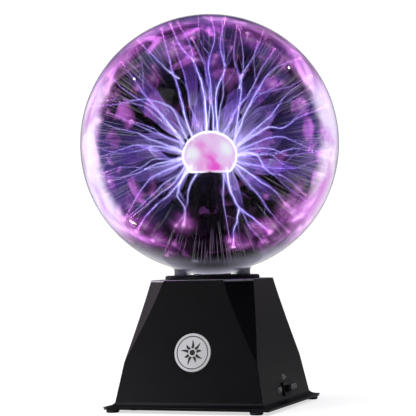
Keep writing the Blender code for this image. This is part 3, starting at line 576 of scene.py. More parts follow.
def make_badge(silver, ink):
    face = 0.5 * MM
    rim = arc((BADGE_RADIUS - 0.3 * MM, face - 0.3 * MM), 0.3 * MM, 0.3 * MM, 0, math.pi / 2, 6)
    profile = [(0, -0.3 * MM), (BADGE_RADIUS, -0.3 * MM), *rim, (0, face)]
    disc = turned_mesh(profile, 96)
    badge = to_object("badge_disc", placed(disc, BADGE @ AXIS_OUT), silver)
    belongs(badge, BASE, "badge_silver", "front_badge")
    top = face + 0.06 * MM
    parts = [prism_mesh(outline, face, top) for outline in spark_outlines()]
    parts.append(turned_mesh([(0, face), (1.9 * MM, face), (1.9 * MM, top), (0, top)], 32))
    ring = [(10.4 * MM, face), (11.0 * MM, face), (11.0 * MM, top), (10.4 * MM, top)]
    parts.append(turned_mesh(ring, 96))
    printed = to_object("badge_print", placed(joined(parts), BADGE @ FACE_OUT), ink)
    belongs(printed, BASE, "badge_silver")


def make_switch(plastic, ink):
    outline = rounded_rectangle(7.6 * MM, 4.7 * MM, 1.2 * MM)
    frame_shape = placed(prism_mesh(outline, 0.3 * MM, 1.0 * MM), SWITCH @ FACE_OUT)
    bezel = to_object("bezel_fine", frame_shape, plastic)
    window = block((-1 * MM, -5.8 * MM, -2.4 * MM), (3 * MM, 5.8 * MM, 2.4 * MM))
    cut(bezel, placed(window, SWITCH))
    bevel(bezel, 0.2 * MM, 2, 40.0)
    belongs(bezel, BASE, "black_plastic", "switch_bezel")

    cap = block((-1.6 * MM, -2.2 * MM, -2.0 * MM), (3.2 * MM, 2.2 * MM, 2.0 * MM))
    knob = to_object("knob_fine", cap, plastic)
    cut(knob, block((-8.0 * MM, -1.5 * MM, -1.0 * MM), (-1.0 * MM, 1.5 * MM, 1.0 * MM)), "UNION")
    for k in (-1, 0, 1):
        groove = block((2.7 * MM, (k * 1.3 - 0.3) * MM, -3 * MM), (4 * MM, (k * 1.3 + 0.3) * MM, 3 * MM))
        cut(knob, groove)
    bevel(knob, 0.12 * MM, 2, 40.0)
    knob.data.transform(SWITCH)
    belongs(knob, SLIDER, "black_plastic", "switch_knob")

    for name, words, along, up, align in (
        ("legend_on", "ON", 0.0, 6.6, "CENTER"),
        ("legend_off", "OFF", -8.6, -1.4, "RIGHT"),
        ("legend_audio", "AUDIO", 8.6, -1.4, "LEFT"),
    ):
        data = bpy.data.curves.new(name, "FONT")
        data.body = words
        data.size = 4.7 * MM
        data.extrude = 0.03 * MM
        data.align_x = align
        data.materials.append(ink)
        legend = bpy.data.objects.new(name, data)
        bpy.context.scene.collection.objects.link(legend)
        legend.matrix_world = SWITCH @ Matrix.Translation((0.05 * MM, along * MM, up * MM)) @ FACE_OUT
        belongs(legend, BASE, "badge_silver")


# ---- glass and gas ----
DARK_SHEET_SHARE = 0.07  # share of light that one pass through the dark sheet of lit gas at the glass lets by; the sheet is painted shade that makes the globe's inside dark


def glass_look():
    """Blown glass: clear face on, mirroring at its rim, and smoky lilac along the neck."""
    g = Graph("blown_glass")
    clear = g.clear((0.97, 0.98, 0.99))
    smear = g.ramp(g.noise(18.0, 4.0, 0.6, distortion=1.0), 0.4, 0.8, 0.015, 0.05)
    gloss = g.node("ShaderNodeBsdfGlossy", {"Color": (0.95, 0.96, 1.0), "Roughness": smear}).outputs[0]
    surface = g.layered(g.plus(g.times(g.math("POWER", g.edge(), 5.0), 0.5), 0.003), clear, gloss)
    in_neck = g.ramp(g.height(), 94.5 * MM, 92.5 * MM)
    smoky = g.principled({"Base Color": (0.10, 0.095, 0.18), "Roughness": 0.25})
    surface = g.layered(g.times(g.ramp(g.edge(), 0.12, 0.42), in_neck), surface, smoky)
    volume = g.node("ShaderNodeVolumeAbsorption", {"Color": (0.30, 0.26, 0.34), "Density": 30.0})
    return g.finish(surface, volume.outputs[0])


def globe_side(inset, rows):
    """Half the outline of the globe and its neck, from the neck's end up to the top."""
    radius = GLOBE_RADIUS - inset
    neck = NECK_RADIUS - inset
    leave = math.asin(-0.947)  # below this the sphere passes into the neck
    z, r = GLOBE_CENTRE.z + radius * math.sin(leave), radius * math.cos(leave)
    points = [(neck, NECK_END_Z), (neck, z - 3.1 * MM)]
    for share, drop in ((0.04, 2.4), (0.14, 1.7), (0.28, 1.2), (0.46, 0.75), (0.70, 0.35)):
        points.append((neck + share * (r - neck), z - drop * MM))
    return points + with_pole(arc((0, GLOBE_CENTRE.z), radius, radius, leave, math.pi / 2, rows))


def make_globe(glass):
    rows = 72
    profile = [*reversed(globe_side(0.0, rows)), *globe_side(GLASS_WALL, rows)]
    globe = turned("blown_globe", profile, glass, 160, 60.0)
    belongs(globe, BASE, "clear_glass", "glass_globe")


def stem_radius(z):
    """The stem widens from the bulb down to the neck."""
    share = (z - 78 * MM) / (154 * MM - 78 * MM)
    return STEM_RADIUS_TOP + 5.0 * MM * max(1 - share, 0.0) ** 1.2


def electrode_look():
    """The glass bulb wrapped in discharge: a white skin over a pink body with magenta and milky patches."""
    g = Graph("electrode_glow")
    patches = g.noise(75.0, 3.0, 0.55, distortion=0.9)
    milk = g.noise(52.0, 2.0, 0.5, vector=g.stretched((1.0, 1.0, 0.8)), distortion=0.5)
    jolt = g.node("ShaderNodeCombineXYZ", {0: g.times(patches, 9 * MM), 2: g.times(milk, 9 * MM)}).outputs[0]
    shaken = g.vectors("SUBTRACT", g.place(), jolt)

    def patch(across, up, near, far):
        place = (ACROSS * across + UP * up + TOWARDS * 0.8) * BULB_HALF_HEIGHT
        heart = BULB_CENTRE + place - Vector((4.5, 0, 4.5)) * MM  # the mean of the jolt
        return g.ramp(g.vectors("DISTANCE", shaken, tuple(heart), "Value"), far * MM, near * MM)

    blush = g.plus(g.ramp(patches, 0.44, 0.80, 0.0, 0.6), g.times(patch(0.0, -0.42, 1, 11), 0.95))
    streak = g.larger(patch(-0.30, 0.35, 1, 7), patch(0.02, 0.12, 0, 8))
    streak = g.larger(streak, patch(0.30, -0.45, 0, 6))
    blush = g.plus(blush, g.times(streak, 0.75), clamp=True)
    pink = g.mix(blush, (0.86, 0.60, 0.92), (0.86, 0.11, 0.66))
    white = g.larger(patch(-0.72, 0.0, 2, 8), patch(0.66, 0.25, 2, 8))
    white = g.larger(white, g.ramp(milk, 0.52, 0.72, 0.0, 0.6))
    tone = g.mix(white, pink, (0.92, 0.92, 1.0))
    skin = g.ramp(g.facing(), 0.24, 0.46, 1.0, 0.0)
    tone = g.mix(skin, tone, (1.0, 0.96, 1.0))
    return g.finish(g.shine(tone, g.ramp(skin, 0.0, 1.0, 0.95 / DARK_SHEET_SHARE, 1.6 / DARK_SHEET_SHARE)))


def make_stem(glow, glass, black):
    leave = math.asin((BULB_CUT_Z - BULB_CENTRE.z) / BULB_HALF_HEIGHT)
    dome = with_pole(arc((0, BULB_CENTRE.z), BULB_RADIUS, BULB_HALF_HEIGHT, leave, math.pi / 2, 48))
    wall = 1.2 * MM
    inner_radii = (BULB_RADIUS - wall, BULB_HALF_HEIGHT - wall)
    inner = with_pole(arc((0, BULB_CENTRE.z), *inner_radii, leave + 0.06, math.pi / 2, 40))
    hole = STEM_RADIUS_TOP + 0.1 * MM
    outer = [(hole + 1.5 * MM, BULB_CUT_Z), *dome]
    under = [(hole, BULB_CUT_Z + 0.2 * MM), (hole, BULB_CUT_Z + wall), *inner]
    bulb = turned("electrode_bulb", [*reversed(outer), *under], glow, 96, 50.0)
    foot = NECK_RADIUS - GLASS_WALL - 0.4 * MM
    skins = []
    for inset in (0.0, wall):
        points = []
        flare = ((0.0, 0.0), (0.6, 1.0), (1.5, 1.8), (3.4, 3.0), (5.5, 4.2), (7.4, 5.5), (8.6, 6.6))
        for inward, rise in flare:
            points.append((foot - inset - inward * MM, NECK_END_Z + (0.4 + rise) * MM))
        for z in (80, 84, 90, 96, 102, 110, 118, 128, 138, 148, 156):
            points.append((stem_radius(z * MM) - inset, z * MM))
        points.append((STEM_RADIUS_TOP - inset + 0.4 * MM, BULB_CUT_Z - 1.0 * MM))
        points.append((STEM_RADIUS_TOP - inset + 1.2 * MM, BULB_CUT_Z - 0.15 * MM))
        skins.append(points)
    tube = turned("stem_tube", [*skins[0], *reversed(skins[1])], glass, 96, 50.0)
    belongs(tube, BASE, "clear_glass", "stem_glass")
    belongs(bulb, BASE, "clear_glass", "stem_glass")
    top = BULB_CUT_Z - 0.8 * MM
    levels = [80 * MM + (top - 80 * MM) * k / 12 for k in range(13)]
    outside = [(stem_radius(z) - 1.7 * MM, z) for z in reversed(levels)]
    inside = [(stem_radius(z) - 2.9 * MM, z) for z in levels]
    sleeve = turned("stem_sleeve_fine", outside + inside, black, 96)
    belongs(sleeve, BASE, "black_rubber", "stem_sleeve")


def shell_glow_look():
    """Gas lit where it meets the glass: magenta clouds overhead, a pale band round the waist, and below a
    grey glow that is a painted reflection of the pale floor.
    """
    g = Graph("shell_glow")
    level = g.math("DIVIDE", g.minus(g.height(), GLOBE_CENTRE.z), GLOBE_RADIUS)
    clouds = g.noise(44.0, 3.0, 0.5, distortion=0.5)
    wisps = g.noise(13.0, 2.0, 0.5)
    edge = g.edge()
    shifted = g.plus(edge, g.times(g.minus(clouds, 0.5), 0.12))
    waist = g.times(g.ramp(level, -0.80, -0.50), g.ramp(level, 0.66, 0.20))
    crown = g.ramp(level, 0.15, 0.55)
    sole = g.ramp(level, -0.70, -0.88)
    mottle = g.ramp(g.plus(g.times(wisps, 0.5), g.times(clouds, 0.5)), 0.42, 0.58)
    pale = g.mix(mottle, (0.74, 0.24, 0.78), (1.0, 0.88, 1.0))
    pale = g.mix(g.ramp(edge, 0.62, 0.90, 0.0, 0.75), pale, (0.98, 0.84, 1.0))
    cloud = g.mix(g.ramp(clouds, 0.46, 0.66), (0.28, 0.02, 0.34), (0.66, 0.17, 0.76))
    cloud = g.mix(g.ramp(edge, 0.60, 0.80), cloud, (0.72, 0.32, 0.80))
    waist_light = g.times(g.ramp(shifted, 0.45, 0.60), waist)
    waist_light = g.times(waist_light, g.ramp(edge, 0.60, 0.90, 0.90, 1.15))
    crown_edge = g.times(g.ramp(shifted, 0.34, 0.66, 0.0, 0.8), g.ramp(clouds, 0.44, 0.60))
    rim = g.times(g.ramp(edge, 0.56, 0.70), g.ramp(clouds, 0.34, 0.60, 0.40, 1.0))
    crown = g.times(crown, g.ramp(level, 0.80, 0.95, 1.0, 0.20))
    crown_light = g.times(g.larger(crown_edge, rim), crown)
    blots = g.times(g.ramp(clouds, 0.55, 0.68, 0.0, 0.70), g.ramp(edge, 0.05, 0.36, 0.08, 1.0))
    blots = g.times(blots, g.ramp(level, -0.94, -0.70))
    flank = g.times(g.ramp(level, -0.36, -0.58), g.ramp(level, -0.86, -0.72))
    fringe = g.times(g.ramp(edge, 0.24, 0.62), flank)
    fringe = g.times(fringe, g.ramp(clouds, 0.40, 0.60, 0.06, 0.72))
    haze = g.times(g.ramp(wisps, 0.44, 0.62, 0.0, 0.9), g.ramp(edge, 0.04, 0.50, 0.10, 1.0))
    haze = g.times(haze, g.ramp(level, -0.80, -0.40, 0.2, 1.0))
    # Painted reflection: a grey glow over the bottom of the globe, rising towards its outline, in place of
    # the pale floor mirrored in the glass.
    rise = g.math("POWER", g.times(g.minus(edge, 0.5), 2.5, clamp=True), 1.6)
    painted_floor_reflection = g.times(sole, g.times(rise, 0.72))
    grey = g.mix(g.ramp(edge, 0.80, 0.92), (0.78, 0.74, 0.90), (0.98, 0.88, 0.82))
    # The see-through base is dark: painted shade that darkens all that is seen through the globe, and the
    # glows are made brighter to match.
    surface = g.clear((DARK_SHEET_SHARE, DARK_SHEET_SHARE, DARK_SHEET_SHARE))
    for tone, light in (
        (pale, waist_light),
        (cloud, g.plus(crown_light, g.plus(blots, fringe))),
        ((0.065, 0.040, 0.22), haze),
        (grey, painted_floor_reflection),
    ):
        surface = g.both(surface, g.shine(tone, light))
    return g.finish(surface)


def make_shell_glow(glow):
    """The lit gas and its dark see-through sheet of painted shade, as a sphere just inside the glass, drawn
    down a little into the neck.
    """
    bm = bmesh.new()
    place = Matrix.Translation(GLOBE_CENTRE)
    bmesh.ops.create_uvsphere(bm, u_segments=144, v_segments=96, radius=GAS_RADIUS, matrix=place)
    cap_start, cap_drop = 0.93, 2.2 * MM
    for vert in bm.verts:
        below = (GLOBE_CENTRE.z - vert.co.z) / GAS_RADIUS - cap_start
        vert.co.z -= cap_drop * max(below / (1 - cap_start), 0.0)
    shell = to_object("shell_glow", bm, glow, 60.0)
    glow.cycles.emission_sampling = "NONE"
    belongs(shell, BASE, "clear_glass")


# ---- discharge ----
def light_look(name, soft, power=1.0):
    """Light carried by the mesh's own glow colours; soft fades it towards the piece's outline."""
    g = Graph(name)
    colour = g.glow_colour()
    if not soft:
        return g.finish(g.shine(colour, power / DARK_SHEET_SHARE))
    strength = g.times(g.math("POWER", g.facing(), soft), power / DARK_SHEET_SHARE)
    return g.finish(g.both(g.clear((1.0, 1.0, 1.0)), g.shine(colour, strength)))


def veil_look():
    """A sheet of discharge: fine fibres running outwards, brighter along its edges."""
    g = Graph("veil_glow")
    flow = g.node("ShaderNodeUVMap", uv_map="flow").outputs[0]
    stretched = g.node("ShaderNodeMapping", {"Vector": flow, "Scale": (9.0, 1.4, 1.0)}).outputs[0]
    fibres = g.noise(3.0, 4.0, 0.6, vector=stretched, distortion=0.3)
    clouds = g.noise(70.0, 2.0, 0.5)
    share = g.times(g.ramp(fibres, 0.32, 0.70, 0.16, 1.70), g.ramp(clouds, 0.3, 0.7, 0.7, 1.2))
    shine = g.shine(g.glow_colour(), g.times(share, 1 / DARK_SHEET_SHARE))
    return g.finish(g.both(g.clear((0.80, 0.78, 0.90)), shine))


class Lights:
    """One mesh of many tubes, sheets or spots, with a glow colour at every vertex."""

    def __init__(self):
        self.verts, self.faces, self.glow, self.flow = [], [], [], []

    def tube(self, route, radii, glows, sides):
        start = len(self.verts)
        normal = None
        for k, point in enumerate(route):
            ahead = (route[min(k + 1, len(route) - 1)] - route[max(k - 1, 0)]).normalized()
            if normal is None:
                normal = ahead.orthogonal().normalized()
            normal = (normal - ahead * normal.dot(ahead)).normalized()
            other = ahead.cross(normal)
            for s in range(sides):
                turn = 2 * math.pi * s / sides
                self.verts.append(point + (normal * math.cos(turn) + other * math.sin(turn)) * radii[k])
                self.glow.append(glows[k])
        for k in range(len(route) - 1):
            for s in range(sides):
                a, b = start + k * sides + s, start + k * sides + (s + 1) % sides
                self.faces.append((a, b, b + sides, a + sides))
        self.faces.append(tuple(start + s for s in reversed(range(sides))))
        last = start + (len(route) - 1) * sides
        self.faces.append(tuple(last + s for s in range(sides)))

    def sheet(self, rows, glows, flows):
        start, wide = len(self.verts), len(rows[0])
        for row, shades, marks in zip(rows, glows, flows):
            self.verts += row
            self.glow += shades
            self.flow += marks
        for i in range(len(rows) - 1):
            for j in range(wide - 1):
                a = start + i * wide + j
                self.faces.append((a, a + 1, a + wide + 1, a + wide))

    def build(self, name, material):
        mesh = bpy.data.meshes.new(name)
        mesh.from_pydata([tuple(v) for v in self.verts], [], self.faces)
        layer = mesh.color_attributes.new("glow", "FLOAT_COLOR", "POINT")
        for item, shade in zip(layer.data, self.glow):
            item.color = (*shade, 1.0)
        if self.flow:
            marks = mesh.uv_layers.new(name="flow")
            for loop, item in zip(mesh.loops, marks.data):
                item.uv = self.flow[loop.vertex_index]
        mesh.shade_smooth()
        mesh.materials.append(material)
        material.cycles.emission_sampling = "NONE"
        made = bpy.data.objects.new(name, mesh)
        bpy.context.scene.collection.objects.link(made)
        belongs(made, BASE, "clear_glass")


def blend(a, b, t):
    return tuple(x + (y - x) * t for x, y in zip(a, b))


def dimmed(colour, level):
    return tuple(c * level for c in colour)


def shade_along(stops, t):
    for (t0, a), (t1, b) in zip(stops, stops[1:]):
        if t <= t1:
            return blend(a, b, (t - t0) / (t1 - t0))
    return stops[-1][1]


def smooth_route(points, steps):
    ends = [2 * points[0] - points[1], *points, 2 * points[-1] - points[-2]]
    route = []
    for a, b, c, d in zip(ends, ends[1:], ends[2:], ends[3:]):
        for k in range(steps):
            t = k / steps
            bend = (2 * a - 5 * b + 4 * c - d) * t**2 + (3 * b - a - 3 * c + d) * t**3
            route.append(0.5 * (2 * b + (c - a) * t + bend))
    return [*route, points[-1]]


def spot(u, v, w):
    """A point in the globe, in radii from its centre: u along ACROSS, v up and w along TOWARDS."""
    return GLOBE_CENTRE + (ACROSS * u + UP * v + TOWARDS * w) * GLOBE_RADIUS


def on_glass(direction):
    """The place just inside the glass in a direction from the globe's centre."""
    return GLOBE_CENTRE + direction.normalized() * (GAS_RADIUS - 1.0 * MM)


def near_glass(u, v, reach=1.0):
    """The place on the glass that lies towards the front over u and v."""
    return on_glass(spot(u, v, math.sqrt(max(reach - u * u - v * v, 0.0))) - GLOBE_CENTRE)


def sideways(direction, rng):
    return direction.cross(Vector([rng.uniform(-1, 1) for _ in range(3)])).normalized()


def bulb_surface(towards):
    """The point on the electrode that faces a place in the globe."""
    out = towards - BULB_CENTRE
    scale = math.sqrt((out.x**2 + out.y**2) / BULB_RADIUS**2 + out.z**2 / BULB_HALF_HEIGHT**2)
    point = BULB_CENTRE + out / scale
    return Vector((point.x, point.y, max(point.z, BULB_CUT_Z + 0.3 * MM)))


# Colours along a filament, from the electrode (0) to the glass (1).
CORE_STOPS = (
    (0.0, (0.95, 0.92, 1.0)), (0.25, (0.80, 0.77, 1.0)), (0.6, (0.58, 0.52, 0.98)),
    (0.86, (0.62, 0.46, 0.95)), (1.0, (0.85, 0.45, 0.88)),
)
HALO_STOPS = (
    (0.0, (0.26, 0.22, 0.78)), (0.5, (0.10, 0.06, 0.44)), (0.8, (0.14, 0.04, 0.36)),
    (1.0, (0.36, 0.06, 0.38)),
)


class Discharge:
    """Filaments, their halos and the places where they meet the glass, gathered into a few meshes."""

    def __init__(self, seed):
        self.random = random.Random(seed)
        self.cores, self.halos, self.brushes, self.spots = Lights(), Lights(), Lights(), Lights()
        self.spot_depth = 0.6 * MM

    def wander(self, route, size):
        """Shakes a route sideways with smooth noise, least at its ends."""
        shift = Vector((self.random.random() * 50, self.random.random() * 50, 0))
        count = len(route) - 1
        shaken = []
        for k, point in enumerate(route):
            calm = math.sin(math.pi * min(k / count * 1.15, 1.0)) ** 0.6 if k < count else 0.0
            jolt = noise.noise_vector(point * 45 + shift) + noise.noise_vector(point * 130 + shift) * 0.35
            shaken.append(point + jolt * size * calm)
        return shaken

    def filament(self, points, weight=1.0, ends_on_glass=True, start=0.0, wobble=2.2 * MM, forks=1):
        route = self.wander(smooth_route([Vector(p) for p in points], 9), wobble)
        count = len(route) - 1
        shares = [start + (1 - start) * k / count for k in range(count + 1)]
        bright = [weight] * (count + 1)
        radii = [(0.46 - 0.24 * t) * MM * (0.5 + 0.5 * weight) for t in shares]
        if not ends_on_glass:
            radii = [r * (1 - 0.7 * k / count) for k, r in enumerate(radii)]
            bright = [b * (1 - 0.85 * k / count) for k, b in enumerate(bright)]
        levels = [b * (1.0 - 0.35 * t) for b, t in zip(bright, shares)]
        glows = [dimmed(shade_along(CORE_STOPS, t), level) for t, level in zip(shares, levels)]
        self.cores.tube(route, radii, glows, 5)
        picks = [*range(0, count, 2), count]
        halo_radii = [(1.9 - 0.6 * shares[k]) * MM * (0.5 + 0.5 * weight) for k in picks]
        halo_glows = [dimmed(shade_along(HALO_STOPS, shares[k]), bright[k] * 0.62) for k in picks]
        self.halos.tube([route[k] for k in picks], halo_radii, halo_glows, 8)
        if ends_on_glass:
            self.landing(route, weight)
        for _ in range(forks):
            self.fork(route, weight, ends_on_glass)
        for _ in range(3 if ends_on_glass else 0):
            self.twig(route, weight)

    def twig(self, route, weight):
        """A short hair that leaves a filament and dies out in the gas."""
        at = int((len(route) - 1) * self.random.uniform(0.15, 0.8))
        origin = route[at]
        heading = (route[-1] - origin).normalized()
        side = sideways(heading, self.random)
        heading = (heading + side * self.random.uniform(0.25, 0.7)).normalized()
        reach = self.random.uniform(7, 20) * MM
        if (origin + heading * reach - GLOBE_CENTRE).length > GAS_RADIUS - 3 * MM:
            return
        middle = origin + heading * reach * 0.5 + side * self.random.uniform(-1.5, 1.5) * MM
        points = [origin, middle, origin + heading * reach]
        self.filament(points, weight * 0.45, False, at / len(route), 1.2 * MM, 0)

    def fork(self, route, weight, ends_on_glass):
        count = len(route) - 1
        at = int(count * self.random.uniform(0.45, 0.75))
        origin = route[at]
        heading = (route[-1] - origin).normalized()
        side = sideways(heading, self.random)
        tip = origin + heading * 40 * MM + side * self.random.uniform(8, 20) * MM
        end = on_glass(tip - GLOBE_CENTRE)
        middle = origin.lerp(end, 0.5) + side * self.random.uniform(1, 4) * MM
        self.filament([origin, middle, end], weight * 0.55, ends_on_glass, at / count, 1.6 * MM, 0)

    def landing(self, route, weight):
        """Where a filament meets the glass it widens into a pink brush and lights a soft spot."""
        end, back = route[-1], route[-5]
        shares = [k / 8 for k in range(9)]
        span = self.random.uniform(5, 11) * MM
        tail = end - (end - back).normalized() * span
        line = [tail.lerp(end, t) for t in shares]
        widest = self.random.uniform(1.4, 3.0) * MM * (0.6 + 0.4 * weight)
        radii = [0.25 * MM + (widest - 0.25 * MM) * t**2.2 for t in shares]
        level = weight * self.random.uniform(0.2, 0.5)
        glows = [dimmed(blend((0.30, 0.10, 0.60), (0.90, 0.28, 0.85), t), level) for t in shares]
        self.brushes.tube(line, radii, glows, 10)
        self.patch(end, self.random.uniform(6, 12) * MM * (0.6 + 0.4 * weight), level * 0.9)
        if weight > 0.75:
            self.patch(end, 3.0 * MM, level * 0.9, (0.95, 0.55, 0.95))

    def patch(self, end, radius, level, tint=(0.57, 0.10, 0.64)):
        """A soft round spot lying just inside the glass."""
        out = (end - GLOBE_CENTRE).normalized()
        side = out.orthogonal().normalized()
        other = out.cross(side)
        self.spot_depth += 0.008 * MM
        shell = GAS_RADIUS - self.spot_depth
        rings, sides = 6, 18
        rows, glows, flows = [], [], []
        lumps = [1 + self.random.uniform(-0.25, 0.25) for _ in range(sides)]
        for i in range(rings + 1):
            share = i / rings
            row, shades, marks = [], [], []
            for s in range(sides + 1):
                turn = 2 * math.pi * s / sides
                reach = radius * share * lumps[s % sides]
                place = out * shell + (side * math.cos(turn) + other * math.sin(turn)) * max(reach, 1e-5)
                row.append(GLOBE_CENTRE + place.normalized() * shell)
                strength = level * (0.5 + 0.5 * math.cos(math.pi * share)) ** 1.3
                core = blend(tint, (1.0, 0.62, 0.98), max(0.0, 1 - 2.6 * share) * 0.7)
                shades.append(dimmed(core, strength))
                marks.append((s / sides, share))
            rows.append(row)
            glows.append(shades)
            flows.append(marks)
        self.spots.sheet(rows, glows, flows)


# The five tables below give u, v and w, the places that spot() takes, in hundredths of the globe's radius.
# Streamers of the main fan: weight, way-points (u, v, w), forks.
FAN = (
    (1.0, ((-12, 2, 12), (-20, 30, 10), (-27, 55, 10), (-33, 82, 30)), 0),
    (1.2, ((-2, 6, 12), (-3, 38, 8), (-8, 58, 5), (-20, 74, 0), (-27, 88, 15)), 1),
    (0.7, ((-22, 50, 10), (-36, 63, 12), (-51, 75, 25)), 0),
    (0.8, ((-17, -2, 8), (-33, 17, 10), (-46, 34, 16), (-56, 48, 24), (-61, 56, 42)), 1),
    (0.7, ((-17, -3, 6), (-38, 25, 10), (-58, 37, 12), (-70, 48, 30)), 0),
    (0.7, ((-18, 4, 0), (-30, 28, 5), (-50, 34, 8), (-72, 31, 10), (-92, 30, 8)), 1),
    (0.6, ((-18, -2, 10), (-40, 22, 20), (-60, 30, 30), (-74, 29, 55)), 0),
    (0.7, ((-20, -6, 5), (-48, 6, 12), (-66, 10, 16), (-82, 15, 50)), 0),
    (0.6, ((-20, -6, 2), (-52, 0, 5), (-72, -4, 8), (-90, -15, 30)), 1),
    (0.8, ((-19, -10, 10), (-42, -16, 12), (-58, -24, 18), (-74, -30, 55)), 0),
    (0.9, ((-18, -14, 10), (-36, -21, 12), (-50, -32, 18), (-63, -57, 42)), 0),
    (0.9, ((-17, -15, 10), (-29, -30, 14), (-42, -42, 25), (-57, -55, 50)), 0),
    (1.0, ((-16, -17, 10), (-30, -38, 20), (-45, -50, 35), (-55, -67, 42)), 0),
    (1.3, ((-13, -17, 12), (-21, -28, 20), (-25, -40, 30), (-19, -52, 50), (-20, -63, 70)), 0),
    (0.9, ((-8, -20, 12), (-15, -34, 20), (-19, -52, 40), (-25, -63, 68)), 0),
    (1.0, ((6, 5, 10), (7, 40, 5), (12, 57, 4), (10, 76, 2), (13, 88, 12)), 1),
    (0.9, ((3, 7, 2), (2, 35, -5), (0, 62, -5), (6, 80, 10), (3, 93, 20)), 1),
    (0.8, ((20, 0, 0), (24, 32, 2), (24, 48, 5), (20, 65, 10), (22, 84, 40)), 0),
    (0.7, ((24, 42, 2), (28, 60, 5), (23, 78, 45)), 0),
    (0.7, ((25, 50, 0), (34, 62, 5), (41, 79, 30)), 1),
    (0.9, ((19, 0, 8), (27, 20, 10), (38, 42, 12), (50, 55, 20), (69, 60, 30)), 1),
    (0.8, ((20, -2, 4), (46, 18, 6), (58, 34, 10), (74, 44, 42)), 1),
    (0.8, ((20, -5, 8), (42, 10, 12), (56, 10, 14), (70, 17, 20), (86, 24, 30)), 1),
    (0.7, ((21, -6, 0), (48, 5, 0), (66, 0, 5), (86, -15, 30)), 1),
    (0.6, ((21, -8, 10), (44, -6, 14), (62, -12, 20), (86, -8, 30)), 0),
    (0.9, ((20, -11, 12), (34, -9, 18), (44, -23, 20), (56, -28, 30), (67, -42, 50)), 1),
    (1.1, ((18, -16, 12), (32, -24, 18), (46, -36, 25), (52, -48, 60)), 0),
    (0.7, ((17, -17, 4), (30, -33, 6), (44, -54, 10), (56, -68, 35)), 1),
    (1.2, ((12, -19, 12), (16, -38, 22), (22, -53, 35), (36, -64, 45), (43, -70, 52)), 1),
    (1.0, ((21, -52, 35), (17, -66, 50), (15, -79, 52)), 0),
    (0.8, ((9, -20, 10), (10, -42, 18), (12, -70, 55)), 0),
)

# Loops that return to the electrode or die out in the gas: weight, way-points (u, v, w).
LOOPS = (
    (0.7, ((-21.5, -3, 4), (-22.5, 6, 6), (-19, 14, 6), (-13, 17.5, 5))),
    (0.7, ((21.5, -2, 4), (24.5, 8, 6), (21, 17, 6), (14, 21, 5))),
    (1.1, ((-20, -7, 8), (-29, -2, 10), (-37, -5, 10), (-42, -10, 10))),
    (1.0, ((-20, -12, 8), (-29, -13, 10), (-36, -8, 10), (-43, -6, 10))),
    (0.8, ((21, -9, 8), (30, -10, 10), (40, -12, 12), (44, -19, 12))),
    (0.7, ((20, -14, 8), (28, -17, 10), (38, -17, 12), (50, -26, 12))),
)

# Brushes on the near glass with only a short visible tail: u, v, weight.
NEAR_BRUSHES = (
    (-44, -75, 0.9), (-34, -86, 0.8), (-28, -78, 0.6), (-40, 52, 0.7), (-52, 36, 0.6), (-10, 80, 0.8),
    (-9, 55, 0.5), (6, 58, 0.5), (12, 46, 0.5), (30, 78, 0.9), (48, 38, 0.6), (70, 24, 0.7),
    (60, -56, 0.8), (30, -66, 0.7), (-72, 33, 0.6), (-30, -36, 0.4), (42, -78, 0.6), (-80, -40, 0.7),
    (84, 4, 0.5), (40, -45, 0.4), (-16, -66, 0.5),
)

# Soft clouds on the near glass: u, v, radius in mm, brightness.
CLOUDS = (
    (-62, 64, 17, 0.95), (-50, 72, 12, 0.4), (-26, 64, 12, 0.42), (-41, 44, 10, 0.28), (-11, 79, 11, 0.5),
    (-30, 86, 10, 0.45), (12, 88, 10, 0.35), (32, 74, 13, 0.45), (47, 70, 12, 0.35), (61, 58, 12, 0.4),
    (47, 37, 9, 0.4), (69, 21, 10, 0.35), (4, 54, 7, 0.22), (1, 24, 5, 0.3), (-70, 34, 9, 0.3),
    (-80, 42, 9, 0.3), (-76, -31, 10, 0.35), (-86, 6, 8, 0.28), (-52, -65, 11, 0.5), (-41, -76, 12, 0.55),
    (-32, -86, 8, 0.45), (-20, -62, 8, 0.45), (-62, -50, 9, 0.25), (46, -68, 15, 0.6),
    (62, -56, 16, 0.55), (74, -52, 15, 0.55), (38, -67, 10, 0.6), (26, -82, 9, 0.4), (16, -78, 8, 0.6),
    (66, -41, 10, 0.35), (81, -17, 8, 0.3), (52, -78, 11, 0.4),
)

